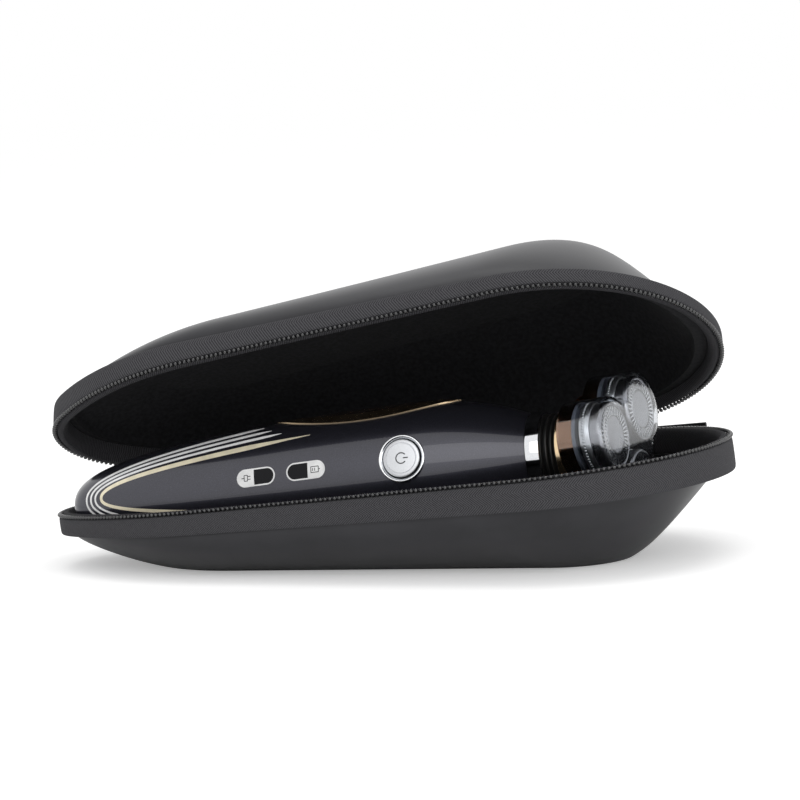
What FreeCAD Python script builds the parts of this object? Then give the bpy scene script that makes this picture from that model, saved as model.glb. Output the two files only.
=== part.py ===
import FreeCAD, Part
import math
import os

# Moulded travel case with a three-head rotary shaver lying in it.
# Millimetres, Z up, floor at Z = 0, +X from the case's tail to its wide head end,
# -Y is the front where the case opens, +Y the hinge side.

V = FreeCAD.Vector

# Case: outline of the closed rim, seen square to the parting plane. Its length is that
# of the shaver and the room at both ends
tail_room = 8.2
head_room = 23.59
case_half_width = 42.0
side_lean_deg = 5.4
tail_end_radius = 24.0
tail_flank_radius = 80.0
parting_height = 24.0
parting_tilt_deg = 5.0
lid_open_deg = 30.7

# Case: moulded walls below the rim band
base_band_height = 8.0
base_seam_deg = 1.1
lid_band_height = 6.5
lid_seam_deg = -0.9
band_inset = 0.4
band_thickness = 1.2
band_edge_break = 0.5
shell_wall = 1.5
lining_thickness = 0.5
layer_gap = 0.05
head_step = 6.0
head_run = 21.8
tail_step = 4.2
tail_run = 21.0
tail_power = 1.4
side_step = 1.4
side_run = 20.3
side_power = 1.8
bottom_round = 2.0

# Case: zipper and its tape at the rim
rim_drop = 1.35
chain_width = 1.6
chain_height = 1.1
chain_set_back = 0.0
tape_thickness = 0.6
tape_end_gap = 0.15
stop_length = 2.4

# Case: fabric hinge along the straight part of the back
hinge_length = 76.0
hinge_strip = 0.7
hinge_strip_height = 5.4
hinge_axis_out = 0.5
hinge_slit = 0.2

# Case: zipper sliders, parked at both ends of the hinge
slider_gap = 0.3
slider_plate = 1.2
slider_length = 9.5
slider_below = 5.0
slider_above = 1.1
bail_drop = 2.6
bail_width = 2.6
bail_height = 1.9
bail_length = 5.0
pull_length = 20.0
pull_width = 4.6
pull_thickness = 0.9
pull_pin_radius = 0.45
pull_end = 0.7
head_slider_deg = 76.0
tail_slider_deg = 108.5

# Shaver: where it lies in the case and how it is turned
shaver_start_v = -3.0
shaver_start_w = -1.0
shaver_roll_deg = 18.0
shaver_pitch_deg = -0.55
shaver_yaw_deg = 0.0

# Shaver: handle, widest at its belly, with a blunt tail that sweeps to the front
handle_length = 133.6
handle_half_width = 18.8
handle_front = 18.4
handle_back = 17.6
handle_wall = 2.0
handle_stations = 13
tail_fullness = 0.36
tail_share = 0.75
tail_tip = 0.004
tail_sweep = 4.5
sweep_share = 0.45
neck_share = 0.76
neck_taper = 0.37
tail_wall = 8.0
neck_wall = 3.5
split_height = 4.0
trim_proud = 0.25
trim_tail_run = 51.2
trim_low_run = 17.2
trim_neck_run = 24.6
trim_low_offset = 4.9
trim_end_offset = -1.5
trim_thick = 1.7
skin_depth = 0.9

# Shaver: power button and indicator windows on the front
button_to_neck = 32.4
button_radius = 5.2
button_travel = 0.6
button_gap = 0.1
bezel_radius = 6.5
bezel_proud = 0.45
bezel_depth = 3.2
button_seat_drop = 0.1
button_stem = 4.2
button_dome = 0.25
window_to_button = 27.9
window_pitch = 14.8
window_length = 11.0
window_width = 4.6
window_depth = 1.2

# Shaver: parts inside the handle
battery_radius = 7.0
battery_length = 49.0
battery_set_in = 6.0
chassis_thickness = 2.0
chassis_drop = 8.1
chassis_length = 78.0
clamp_length = 6.0
clamp_grip = 1.5
board_thickness = 1.2
board_width = 18.0
board_length = 66.0
switch_size = 6.0
switch_height = 1.6
motor_radius = 8.6
motor_length = 22.0
motor_nose_radius = 3.0
motor_nose_length = 5.0
motor_set_back = 0.6
spindle_radius = 1.0
jack_radius = 2.4
jack_wall = 0.5
jack_depth = 7.0

# Shaver: neck between the handle and the tilting head
neck_ring_length = 4.2
neck_ring_radius = 12.0
neck_bore = 8.9
pivot_reach = 7.6
head_lean_deg = 10.0
bellows_radius = 11.2
bellows_groove = 1.0
bellows_ribs = 3
bellows_bore = 9.7
bellows_end = 3.0
ear_inner = 7.7
ear_outer = 9.0
ear_width = 5.0
pin_radius = 1.2
pin_clearance = 0.05
collar_radius = 12.7
collar_wall = 0.7
collar_start = 3.4
collar_length = 3.0
collar_face = 1.2
cone_start = 5.6
cone_small = 8.6
cone_large = 14.5

# Shaver: head with three cutting units
unit_pitch_radius = 11.6
unit_radius = 9.7
unit_count = 3
lobe_radius = 10.0
cap_wall = 0.6
cap_clearance = 0.1
head_floor = 8.6
floor_thickness = 1.5
chamber_height = 3.0
frame_thickness = 1.0
holder_gap = 1.0
holder_height = 2.8
holder_wall = 1.25
holder_web = 0.8
web_hole = 3.2
foil_gap = 0.05
foil_skin = 0.4
foil_wall_height = 1.9
foil_crown = 1.2
foil_track_radius = 8.2
foil_disc_radius = 5.0
unit_tilt_deg = 5.0
cap_front_gap = 0.6

# Shaver: gears, cutters and their spindles
pinion_teeth = 16
gear_teeth = 30
gear_width = 1.6
tooth_share = 0.36
tooth_tip_share = 0.20
gear_addendum = 0.40
gear_dedendum = 0.62
gear_spindle_radius = 1.15
socket_radius = 1.5
cutter_radius = 7.6
cutter_disc = 0.5
cutter_blades = 9
cutter_blade_width = 1.0
cutter_clear = 0.2

# Places along the handle, counted back from its neck end
button_x = handle_length - button_to_neck
motor_x = handle_length - motor_set_back - motor_nose_length - motor_length
chassis_end = motor_x + clamp_grip
chassis_x = chassis_end - chassis_length
battery_x = chassis_x + battery_set_in
cavity_start = tail_wall
cavity_end = handle_length - neck_wall
pivot_x = handle_length + pivot_reach

# Heights in the head, counted along its own axis from the neck pivot
gear_low = head_floor + floor_thickness + 0.5
frame_low = head_floor + floor_thickness + chamber_height
frame_high = frame_low + frame_thickness
holder_low = frame_high + holder_gap
holder_high = holder_low + holder_height
foil_low = holder_high + foil_gap
foil_top = foil_low + foil_wall_height + foil_crown
track_under = foil_top - foil_skin
disc_top = track_under - cutter_clear - 1.0
tilt_x = holder_low + holder_web / 2
cap_front = foil_top + foil_skin / 4 + cap_front_gap

# The case is as long as the shaver and the room at its two ends
shaver_length = pivot_x + (cap_front + cap_wall) * math.cos(math.radians(head_lean_deg))
case_length = tail_room + shaver_length + head_room
reach = case_length / 2
shaver_start_u = tail_room - reach


# Basic shapes

def box(x0, x1, y0, y1, z0, z1):
    return Part.makeBox(x1 - x0, y1 - y0, z1 - z0, V(x0, y0, z0))


def rod(radius, start, end, axis=V(1, 0, 0), at=V(0, 0, 0)):
    return Part.makeCylinder(radius, end - start, at + axis * start, axis)


def arc_edge(centre, radius, start_deg, end_deg):
    def point(angle):
        a = math.radians(angle)
        return V(centre[0] + radius * math.cos(a), centre[1] + radius * math.sin(a), 0)
    middle = (start_deg + end_deg) / 2
    return Part.Arc(point(start_deg), point(middle), point(end_deg)).toShape()


# Closed outline of tangent arcs and lines: one arc round the wide end, straight
# leaning sides, a long flank arc on each side and a tighter arc round the tail.
# It lies in the XY plane and starts at the tip of the wide end.

lean = math.tan(math.radians(side_lean_deg))


def outline_arcs(head_reach, tail_reach, half_width, slope, end_radius, flank_radius):
    run = math.cos(math.atan(slope))
    head_radius = (slope * head_reach + half_width) * run / (1 + slope * run)
    head_centre = head_reach - head_radius
    end_centre = end_radius - tail_reach
    offset = half_width - flank_radius / run
    a = 1 + slope ** 2
    b = 2 * (slope * offset - end_centre)
    c = end_centre ** 2 + offset ** 2 - (flank_radius - end_radius) ** 2
    flank_u = (-b + math.sqrt(b * b - 4 * a * c)) / (2 * a)
    flank_v = slope * flank_u + offset
    return head_radius, head_centre, end_centre, flank_u, flank_v


def outline(head_reach, tail_reach, half_width, slope, end_radius, flank_radius):
    arcs = outline_arcs(head_reach, tail_reach, half_width, slope, end_radius, flank_radius)
    head_radius, head_centre, end_centre, flank_u, flank_v = arcs
    side_deg = 90 + math.degrees(math.atan(slope))
    end_deg = math.degrees(math.atan2(-flank_v, end_centre - flank_u))
    upper = [
        arc_edge((head_centre, 0), head_radius, 0, side_deg),
        None,
        arc_edge((flank_u, flank_v), flank_radius, side_deg, end_deg),
        arc_edge((end_centre, 0), end_radius, end_deg, 180),
    ]
    a = upper[0].Vertexes[-1].Point
    b = upper[2].Vertexes[0].Point
    upper[1] = Part.LineSegment(a, b).toShape()
    lower = [
        arc_edge((end_centre, 0), end_radius, 180, 360 - end_deg),
        arc_edge((flank_u, -flank_v), flank_radius, 360 - end_deg, 360 - side_deg),
        Part.LineSegment(V(b.x, -b.y, 0), V(a.x, -a.y, 0)).toShape(),
        arc_edge((head_centre, 0), head_radius, 360 - side_deg, 360),
    ]
    return Part.Wire(upper + lower)


def rim_wire(inset, w=0.0):
    run = math.cos(math.atan(lean))
    wire = outline(reach - inset, reach - inset, case_half_width - inset / run, lean,
                   tail_end_radius - inset, tail_flank_radius - inset)
    wire.translate(V(0, 0, w))
    return wire


def rim_prism(inset, low, high):
    return Part.Face(rim_wire(inset, low)).extrude(V(0, 0, high - low))


def rim_ring(outer_inset, inner_inset, low, high):
    return rim_prism(outer_inset, low, high).cut(rim_prism(inner_inset, low - 1, high + 1))


# Each half has a rim band above a seam. The seam leans a little, so the band is wider at
# one end. A half is given as its band's middle height and the lean of its seam

base_half = (base_band_height, base_seam_deg)
lid_half = (lid_band_height, lid_seam_deg)
tilt = math.radians(parting_tilt_deg)
band_inner = band_inset + band_thickness
lining_back = shell_wall + layer_gap
wall_stack = lining_back + lining_thickness


def seam_w(half, u):
    return -half[0] - u * math.tan(math.radians(half[1]))


def above_seam(half, lift):
    size = 2 * case_length
    space = box(-size, size, -size, size, 0, size)
    space.rotate(V(0, 0, 0), V(0, 1, 0), half[1])
    space.translate(V(0, 0, lift - half[0]))
    return space


# The moulded wall below the seam: level sections fan from the seam to the flat
# resting face, about the line in which those two planes meet

def section_wire(half, share, inset, lift):
    round_off = bottom_round * share ** 9
    head = reach - head_step - head_run * share - round_off - inset
    tail = reach - tail_step - tail_run * share ** tail_power - round_off - inset
    side = case_half_width - side_step - side_run * share ** side_power - round_off - inset
    ratio = side / case_half_width
    slope = lean * ratio * (1 - share)
    wire = outline(head, tail, side, slope, tail_end_radius * ratio,
                   tail_flank_radius * ratio)
    seam_rise = math.tan(math.radians(half[1]))
    fan_u = (half[0] - parting_height / math.cos(tilt)) / (math.tan(tilt) - seam_rise)
    fan_w = seam_w(half, fan_u)
    turn = half[1] + (parting_tilt_deg - half[1]) * share
    wire.translate(V(0, 0, fan_w))
    wire.rotate(V(fan_u, 0, fan_w), V(0, 1, 0), turn)
    wire.translate(V(0, 0, lift))
    return wire


def bowl(half, inset):
    sections = []
    for share in (0.0, 0.3, 0.6, 0.85, 1.0):
        sections.append(section_wire(half, share, inset, inset * share))
    return Part.makeLoft(sections, True, False)


def hollow(half, inset, top):
    upper = rim_prism(band_inner + inset, -parting_height, top)
    upper = upper.common(above_seam(half, inset))
    throat = Part.Face(section_wire(half, 0.0, inset, 0.0)).extrude(V(0, 0, inset + 0.5))
    return bowl(half, inset).fuse(throat).fuse(upper)


def make_shell(half):
    collar = rim_prism(band_inner, -parting_height, -rim_drop).common(above_seam(half, 0))
    body = collar.fuse(bowl(half, 0.0))
    return body.cut(hollow(half, shell_wall, 1.0)).removeSplitter()


def make_lining(half):
    outside = hollow(half, lining_back, -rim_drop)
    return outside.cut(hollow(half, wall_stack, 1.0))


def make_band(half):
    ring = rim_ring(band_inset, band_inner, -parting_height, -rim_drop - layer_gap)
    ring = ring.common(above_seam(half, 0))
    low_edges = []
    for edge in ring.Edges:
        middle = edge.valueAt((edge.FirstParameter + edge.LastParameter) / 2)
        if abs(middle.z - seam_w(half, middle.x)) < 0.01 and outside_rim(middle):
            low_edges.append(edge)
    return ring.makeChamfer(band_edge_break, low_edges)


def outside_rim(point):
    probe = Part.Vertex(V(point.x, point.y, 0))
    return probe.distToShape(rim_wire(band_inset))[0] < 0.01


def make_tape(half):
    leg_outer = band_inner + wall_stack + layer_gap
    leg_inner = leg_outer + tape_thickness
    top = tape_thickness - rim_drop + layer_gap
    flat = rim_ring(chain_set_back + chain_width + layer_gap, leg_inner,
                    layer_gap - rim_drop, top)
    leg = rim_ring(leg_outer, leg_inner, -parting_height, top)
    leg = leg.common(above_seam(half, wall_stack + tape_end_gap))
    return flat.fuse(leg).removeSplitter()


# Hinge line: along the straight back of the rim, just outside the band

hinge_turn = math.atan(lean)
hinge_dir = V(math.cos(hinge_turn), math.sin(hinge_turn), 0)
hinge_out = V(-math.sin(hinge_turn), math.cos(hinge_turn), 0)
hinge_point = V(0, case_half_width, 0) + hinge_out * hinge_axis_out


def in_hinge_frame(shape):
    shape.rotate(V(0, 0, 0), V(0, 0, 1), math.degrees(hinge_turn))
    shape.translate(V(0, case_half_width, 0))
    return shape


def hinge_zone():
    return in_hinge_frame(box(-hinge_length / 2, hinge_length / 2, -6, 6, -20, 20))


def make_chain():
    low = layer_gap - rim_drop
    ring = rim_ring(chain_set_back, chain_set_back + chain_width, low, low + chain_height)
    return ring.cut(hinge_zone())


def make_stops():
    low = layer_gap - rim_drop
    stops = []
    for side in (-1, 1):
        start = side * hinge_length / 2
        inner = start - side * layer_gap
        outer = inner - side * stop_length
        clip = box(min(inner, outer), max(inner, outer),
                   -chain_set_back - chain_width, -band_inset, low, low + chain_height)
        stops.append(in_hinge_frame(clip))
    return Part.makeCompound(stops)


def make_hinge_strip():
    half = hinge_length / 2
    back = layer_gap - band_inset
    strip = box(-half, half, back, back + hinge_strip, -hinge_strip_height, -hinge_slit)
    return in_hinge_frame(strip.makeFillet(0.25, corner_edges(strip, V(0, 1, 0))))


def corner_edges(solid, axis):
    found = []
    for edge in solid.Edges:
        along = edge.Vertexes[-1].Point.sub(edge.Vertexes[0].Point)
        if abs(abs(along.normalize().dot(axis)) - 1) < 1e-6:
            found.append(edge)
    return found


# Zipper sliders: a plate bent to the rim's own arc, with a bail that holds the pull

rim_arcs = outline_arcs(reach, reach, case_half_width, lean, tail_end_radius,
                        tail_flank_radius)
head_arc_radius = rim_arcs[0]
head_arc_centre = V(rim_arcs[1], 0, 0)
tail_arc_centre = V(rim_arcs[3], rim_arcs[4], 0)


def arc_block(centre, radius_in, radius_out, middle_deg, length, low, high):
    span = math.degrees(length / radius_in)
    outer = Part.makeCylinder(radius_out, high - low, V(0, 0, low), V(0, 0, 1), span)
    inner = Part.makeCylinder(radius_in, high - low, V(0, 0, low), V(0, 0, 1), span)
    block = outer.cut(inner)
    block.rotate(V(0, 0, 0), V(0, 0, 1), middle_deg - span / 2)
    block.translate(centre)
    return block


def outward(middle_deg):
    a = math.radians(middle_deg)
    return V(math.cos(a), math.sin(a), 0)


def make_slider(centre, radius, middle_deg):
    inner = radius + slider_gap
    outer = inner + slider_plate
    body = arc_block(centre, inner, outer, middle_deg, slider_length,
                     -slider_below, slider_above)
    top = outer + bail_height
    bail = arc_block(centre, outer - 0.2, top, middle_deg, bail_length,
                     -bail_drop - bail_width / 2, -bail_drop + bail_width / 2)
    eye = rod(pull_pin_radius + 0.1, -bail_width, bail_width, V(0, 0, 1),
              bail_eye(centre, radius, middle_deg))
    return body.fuse(bail).cut(eye).removeSplitter()


def bail_eye(centre, radius, middle_deg):
    eye_radius = radius + slider_gap + slider_plate + bail_height / 2 - 0.1
    return centre + outward(middle_deg) * eye_radius - V(0, 0, bail_drop)


def make_pull(centre, radius, middle_deg, heading):
    pin = rod(pull_pin_radius, -bail_width / 2 - 0.6, bail_width / 2 + 0.6, V(0, 0, 1))
    cheek_low = bail_width / 2 + 0.2
    half = pull_width / 2
    slab = box(-pull_end, pull_length, -pull_thickness / 2, pull_thickness / 2, -half, half)
    slot = box(-2, bail_length / 2 + 0.9, -2, 2, -cheek_low, cheek_low)
    pull = slab.makeFillet(0.3, slab.Edges).cut(slot).fuse(pin)
    pull.rotate(V(0, 0, 0), V(0, 0, 1), middle_deg + heading * 90)
    pull.translate(bail_eye(centre, radius, middle_deg))
    return pull


# Handle of the shaver, in its own frame: X from tail to head, Z out of its front

def handle_fullness(share):
    """Width of the handle there as a share of its widest: blunt tail, long belly, neck"""
    rise = min((share + tail_tip) / tail_share, 1.0)
    swell = (1 - (1 - rise) ** 2) ** tail_fullness
    narrowing = max(share - neck_share, 0.0) / (1 - neck_share)
    return swell * (1 - neck_taper * narrowing ** 2)


def sweep_at(x):
    return tail_sweep * max(1 - x / handle_length / sweep_share, 0.0) ** 2


def handle_top(x):
    return handle_fullness(x / handle_length) * handle_front + sweep_at(x)


def handle_section(x, grow):
    full = handle_fullness(x / handle_length)
    semi_y = full * handle_half_width + grow
    semi_z = full * (handle_front + handle_back) / 2 + grow
    middle = full * (handle_front - handle_back) / 2 + sweep_at(x)
    return ellipse_wire(V(x, 0, middle), semi_y, semi_z)


def handle_loft(grow, first=0.0, last=None):
    """Sections stand closer together towards the blunt tail"""
    last = handle_length if last is None else last
    wires = []
    for index in range(handle_stations):
        along = (index / (handle_stations - 1)) ** 1.8
        wires.append(handle_section(first + (last - first) * along, grow))
    return Part.makeLoft(wires, True, False)


def ellipse_wire(centre, semi_y, semi_z):
    if semi_y >= semi_z:
        curve = Part.Ellipse(centre + V(0, semi_y, 0), centre + V(0, 0, semi_z), centre)
    else:
        curve = Part.Ellipse(centre + V(0, 0, semi_z), centre + V(0, -semi_y, 0), centre)
    return Part.Wire([curve.toShape()])


handle_beyond = handle_length + 2 * (handle_front + handle_back)


def curved_region(edge_offset, far_y, low_z):
    y_end = handle_half_width - trim_end_offset
    y_low = handle_half_width - trim_low_offset + edge_offset
    start = V(button_x - trim_tail_run, y_end, low_z)
    low = V(button_x - trim_low_run, y_low, low_z)
    end = V(button_x + trim_neck_run, y_end, low_z)
    far_start = V(start.x, far_y, low_z)
    far_end = V(end.x, far_y, low_z)
    edges = [
        Part.Arc(start, low, end).toShape(),
        Part.LineSegment(end, far_end).toShape(),
        Part.LineSegment(far_end, far_start).toShape(),
        Part.LineSegment(far_start, start).toShape(),
    ]
    return Part.Face(Part.Wire(edges)).extrude(V(0, 0, 2 * handle_front))


def both_sides(solid):
    return [solid, solid.mirror(V(0, 0, 0), V(0, 1, 0))]


def window_places():
    second = button_x - window_to_button
    return [second - window_pitch, second]


def build_handle(parts):
    hull = handle_loft(0.0)
    cavity = handle_loft(-handle_wall, cavity_start, cavity_end)
    walls = hull.cut(cavity)
    far = 2 * handle_half_width
    front_space = box(-far, handle_beyond, -far, far, split_height, handle_beyond)
    back_space = box(-far, handle_beyond, -far, far, -handle_beyond, split_height)
    trim_area = curved_region(0.0, far, split_height)
    grip_area = curved_region(trim_thick, far, split_height)
    bezel_z = handle_top(button_x) - button_seat_drop

    jack_hole = rod(jack_radius, -1, jack_depth, V(1, 0, 0), jack_seat())
    nose_hole = rod(motor_nose_radius + layer_gap, motor_x, handle_length + 1)
    back = walls.common(back_space).cut(jack_hole).cut(nose_hole)
    front = walls.common(front_space)
    for area in both_sides(trim_area):
        front = front.cut(area)
    front = front.cut(rod(bezel_radius + 0.03, 0, handle_beyond, V(0, 0, 1),
                          V(button_x, 0, 0)))
    for x in window_places():
        front = front.cut(window_prism(x, hull, 0.03))
    parts["handle_back_shell"] = back
    parts["front_panel"] = front.cut(jack_hole).cut(nose_hole)

    proud = handle_loft(trim_proud).cut(handle_loft(-skin_depth))
    trims = []
    grips = []
    for area, inner in zip(both_sides(trim_area), both_sides(grip_area)):
        crescent = area.cut(inner)
        trims.append(proud.common(crescent).common(front_space))
        grips.append(walls.common(inner).common(front_space))
    parts["gold_trim"] = Part.makeCompound(trims)
    parts["side_grips"] = Part.makeCompound(grips)

    windows = []
    for x in window_places():
        windows.append(window_prism(x, hull, 0.0))
    parts["indicator_windows"] = Part.makeCompound(windows)

    button_top = bezel_z + bezel_proud
    seat = V(button_x, 0, bezel_z)
    flange = rod(bezel_radius, -bezel_depth, bezel_proud, V(0, 0, 1), seat)
    bore = rod(button_radius + button_gap, -2 * bezel_depth, 2 * bezel_depth, V(0, 0, 1), seat)
    ring = flange.cut(bore)
    parts["button_bezel"] = ring.makeFillet(0.3, top_circles(ring, button_top))
    stem_low = bezel_z - button_stem
    top = button_top + button_dome
    button = rod(button_radius, stem_low, top, V(0, 0, 1), V(button_x, 0, 0))
    parts["power_button"] = button.makeFillet(0.45, top_circles(button, top))
    return stem_low


def jack_seat():
    return V(0, 0, sweep_at(0) + handle_fullness(0) * (handle_front - handle_back) / 2)


def top_circles(solid, height):
    found = []
    for edge in solid.Edges:
        if abs(edge.BoundBox.ZMin - height) < 1e-3 and abs(edge.BoundBox.ZMax - height) < 1e-3:
            if len(edge.Vertexes) == 1:
                found.append(edge)
    return found


def window_prism(x, hull, grow):
    half = window_width / 2 + grow
    straight = window_length / 2 - window_width / 2
    high = 2 * handle_front
    block = box(x - straight, x + straight, -half, half, 0, high)
    for side in (-1, 1):
        block = block.fuse(rod(half, 0, high, V(0, 0, 1), V(x + side * straight, 0, 0)))
    block = block.removeSplitter()
    return block.common(hull).cut(handle_loft(-window_depth))


def build_inside(parts, stem_low):
    across = 2 * handle_half_width
    chassis_top = stem_low + button_stem - chassis_drop
    shelf_low = chassis_top - chassis_thickness
    shelf = box(chassis_x, chassis_end, -across, across, shelf_low, chassis_top)
    shelf = shelf.common(handle_loft(-handle_wall - layer_gap, cavity_start, cavity_end))
    clamp = rod(motor_radius + layer_gap + 1.2, chassis_end - clamp_length, chassis_end)
    motor_hole = rod(motor_radius + layer_gap, motor_x - 0.5, handle_beyond)
    parts["chassis"] = shelf.fuse(clamp).cut(motor_hole).removeSplitter()

    battery_z = shelf_low - layer_gap - battery_radius
    at = V(battery_x, 0, battery_z)
    battery = rod(battery_radius, 0, battery_length, V(1, 0, 0), at)
    nipple = rod(battery_radius * 0.4, battery_length, battery_length + 1, V(1, 0, 0), at)
    parts["battery"] = battery.fuse(nipple)

    board_low = chassis_top + layer_gap
    board_end = motor_x - 0.5
    half = board_width / 2
    board = box(board_end - board_length, board_end, -half, half,
                board_low, board_low + board_thickness)
    board = board.common(handle_loft(-handle_wall - 0.3, cavity_start, cavity_end))
    switch_low = board_low + board_thickness
    half = switch_size / 2
    switch_top = stem_low - button_travel - 0.2
    switch = box(button_x - half, button_x + half, -half, half, switch_low,
                 switch_low + switch_height)
    plunger = rod(1.6, switch_low, switch_top, V(0, 0, 1), V(button_x, 0, 0))
    parts["circuit_board"] = board.fuse(switch).fuse(plunger).removeSplitter()

    can = rod(motor_radius, motor_x, motor_x + motor_length)
    nose = rod(motor_nose_radius, motor_x + motor_length, handle_length - motor_set_back)
    bearing = rod(spindle_radius + pin_clearance, 0, handle_beyond)
    parts["motor"] = can.fuse(nose).cut(bearing)
    spindle = rod(spindle_radius, motor_x + 2, pivot_x)
    ball = Part.makeSphere(spindle_radius * 1.5, V(pivot_x, 0, 0))
    parts["motor_spindle"] = spindle.fuse(ball)

    seat = jack_seat()
    sleeve = rod(jack_radius - 0.03, 0.3, jack_depth, V(1, 0, 0), seat).cut(
        rod(jack_radius - jack_wall, -1, jack_depth - 1, V(1, 0, 0), seat))
    contact = rod(0.5, 2.0, jack_depth - 0.5, V(1, 0, 0), seat)
    parts["charging_jack"] = sleeve.fuse(contact)


# Neck: ring with two ears on the handle, ribbed rubber sleeve round them

def to_head(shape):
    shape.rotate(V(0, 0, 0), V(0, 1, 0), -head_lean_deg)
    shape.translate(V(pivot_x, 0, 0))
    return shape


def build_neck(parts):
    start = handle_length + layer_gap
    end = start + neck_ring_length
    ring = rod(neck_ring_radius, start, end).cut(rod(neck_bore, start - 1, end + 1))
    ring = ring.makeFillet(0.5, outer_circles(ring, neck_ring_radius))
    ears = []
    for side in (-1, 1):
        low = min(side * ear_inner, side * ear_outer)
        ear = box(start + 0.4, pivot_x, low, low + ear_outer - ear_inner,
                  -ear_width / 2, ear_width / 2)
        tip = rod(ear_width / 2, low, low + ear_outer - ear_inner, V(0, 1, 0),
                  V(pivot_x, 0, 0))
        hole = rod(pin_radius + pin_clearance, low - 1, low + 4, V(0, 1, 0),
                   V(pivot_x, 0, 0))
        ears.append(ear.fuse(tip).cut(hole))
    for ear in ears:
        ring = ring.fuse(ear)
    parts["neck_ring"] = ring.removeSplitter()

    first = end + layer_gap - pivot_x
    span = bellows_end - first
    outer = []
    bore = []
    steps = bellows_ribs * 4
    for index in range(steps + 1):
        share = index / steps
        along = first + span * share
        bend = head_lean_deg * share
        high = index % 4 in (1, 2, 3) if 0 < index < steps else False
        radius = bellows_radius if high else bellows_radius - bellows_groove
        outer.append(tilted_circle(along, bend, radius))
        if index in (0, steps):
            bore.append(tilted_circle(along, bend, bellows_bore))
    parts["neck_bellows"] = Part.makeLoft(outer, True, True).cut(
        Part.makeLoft(bore, True, True))


def tilted_circle(along, bend_deg, radius):
    a = math.radians(bend_deg)
    normal = V(math.cos(a), 0, math.sin(a))
    lift = max(along, 0) * math.sin(a)
    centre = V(pivot_x + along, 0, lift)
    return Part.Wire([Part.makeCircle(radius, centre, normal)])


def outer_circles(solid, radius):
    found = []
    for edge in solid.Edges:
        curve = edge.Curve
        if isinstance(curve, Part.Circle) and abs(curve.Radius - radius) < 1e-3:
            found.append(edge)
    return found


# Head, in a frame whose origin is the neck pivot and whose X is the head's axis

def unit_centre(index):
    a = math.radians(360.0 / unit_count * index)
    return V(0, unit_pitch_radius * math.sin(a), unit_pitch_radius * math.cos(a))


def lobes(radius, start, end, hub):
    solid = rod(hub, start, end)
    for index in range(unit_count):
        solid = solid.fuse(rod(radius, start, end, V(1, 0, 0), unit_centre(index)))
    return solid.removeSplitter()


module = 2 * unit_pitch_radius / (pinion_teeth + gear_teeth)
pinion_pitch = module * pinion_teeth / 2
gear_pitch = module * gear_teeth / 2


def toothed_wheel(teeth, start, phase_deg):
    pitch = module * teeth / 2
    step = 360.0 / teeth
    root = pitch - gear_dedendum
    tip = pitch + gear_addendum
    points = []
    for index in range(teeth):
        middle = phase_deg + index * step
        flank = step * tooth_share / 2
        crest = step * tooth_tip_share / 2
        for radius, angle in ((root, middle - flank), (tip, middle - crest),
                              (tip, middle + crest), (root, middle + flank)):
            a = math.radians(angle)
            points.append(V(start, radius * math.sin(a), radius * math.cos(a)))
    points.append(points[0])
    return Part.Face(Part.makePolygon(points)).extrude(V(gear_width, 0, 0))


def move_to_unit(shape, index):
    shape.translate(unit_centre(index))
    return shape


def make_pinion():
    wheel = toothed_wheel(pinion_teeth, gear_low, 0.0)
    shaft = rod(2.4, 0.0, gear_low + 0.3)
    socket = rod(spindle_radius * 1.5 + 0.25, -1, 5.5)
    end_pin = rod(1.2, gear_low, frame_low + frame_thickness - 0.2)
    return shaft.fuse(wheel).fuse(end_pin).cut(socket)


def make_gear(index):
    # A tooth gap of the wheel faces the pinion's axis, where a pinion tooth stands
    toward = 360.0 / unit_count * index + 180.0
    pinion_tooth = 360.0 / pinion_teeth
    lead = (360.0 / unit_count * index) % pinion_tooth
    if lead > pinion_tooth / 2:
        lead = lead - pinion_tooth
    shift = lead * pinion_teeth / gear_teeth
    wheel = toothed_wheel(gear_teeth, gear_low, toward + 180.0 / gear_teeth + shift)
    spindle = rod(gear_spindle_radius, head_floor + 0.6, holder_low + 2.6)
    return move_to_unit(wheel.fuse(spindle), index)


def make_head_base():
    body = lobes(lobe_radius, head_floor, frame_low - layer_gap, unit_pitch_radius)
    neck = Part.makeCone(cone_small, cone_large, head_floor - cone_start,
                         V(cone_start, 0, 0), V(1, 0, 0))
    body = body.fuse(neck)
    chamber_low = head_floor + floor_thickness
    for index in range(unit_count):
        pocket = rod(gear_pitch + gear_addendum + 0.3, chamber_low, 40, V(1, 0, 0),
                     unit_centre(index))
        bearing = rod(gear_spindle_radius + pin_clearance, head_floor + 0.5, 40,
                      V(1, 0, 0), unit_centre(index))
        body = body.cut(pocket).cut(bearing)
    body = body.cut(rod(pinion_pitch + gear_addendum + 0.3, chamber_low, 40))
    body = body.cut(rod(2.4 + pin_clearance, -20, 60))
    ears = []
    for side in (-1, 1):
        near = ear_inner - 0.3 - 1.4
        low = min(side * near, side * (near + 1.4))
        arm = box(0, cone_start + 1.5, low, low + 1.4, -ear_width / 2, ear_width / 2)
        tip = rod(ear_width / 2, low, low + 1.4, V(0, 1, 0))
        pin_low = min(side * near, side * (ear_outer - 0.1))
        pin = rod(pin_radius, pin_low, pin_low + ear_outer - 0.1 - near, V(0, 1, 0))
        ears.append(arm.fuse(tip).fuse(pin))
    for ear in ears:
        body = body.fuse(ear)
    return body.removeSplitter()


def make_collar():
    tube = rod(collar_radius, collar_start, collar_start + collar_length)
    inner = collar_radius - collar_wall
    tube = tube.cut(rod(inner, collar_start - 1, collar_start + collar_length - collar_face))
    seat = Part.makeCone(cone_small + layer_gap, cone_large + layer_gap,
                         head_floor - cone_start, V(cone_start, 0, 0), V(1, 0, 0))
    tube = tube.cut(seat).cut(rod(cone_small + layer_gap, 0, cone_start + 0.1))
    return tube.makeFillet(0.25, outer_circles(tube, collar_radius)[:1])


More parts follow.
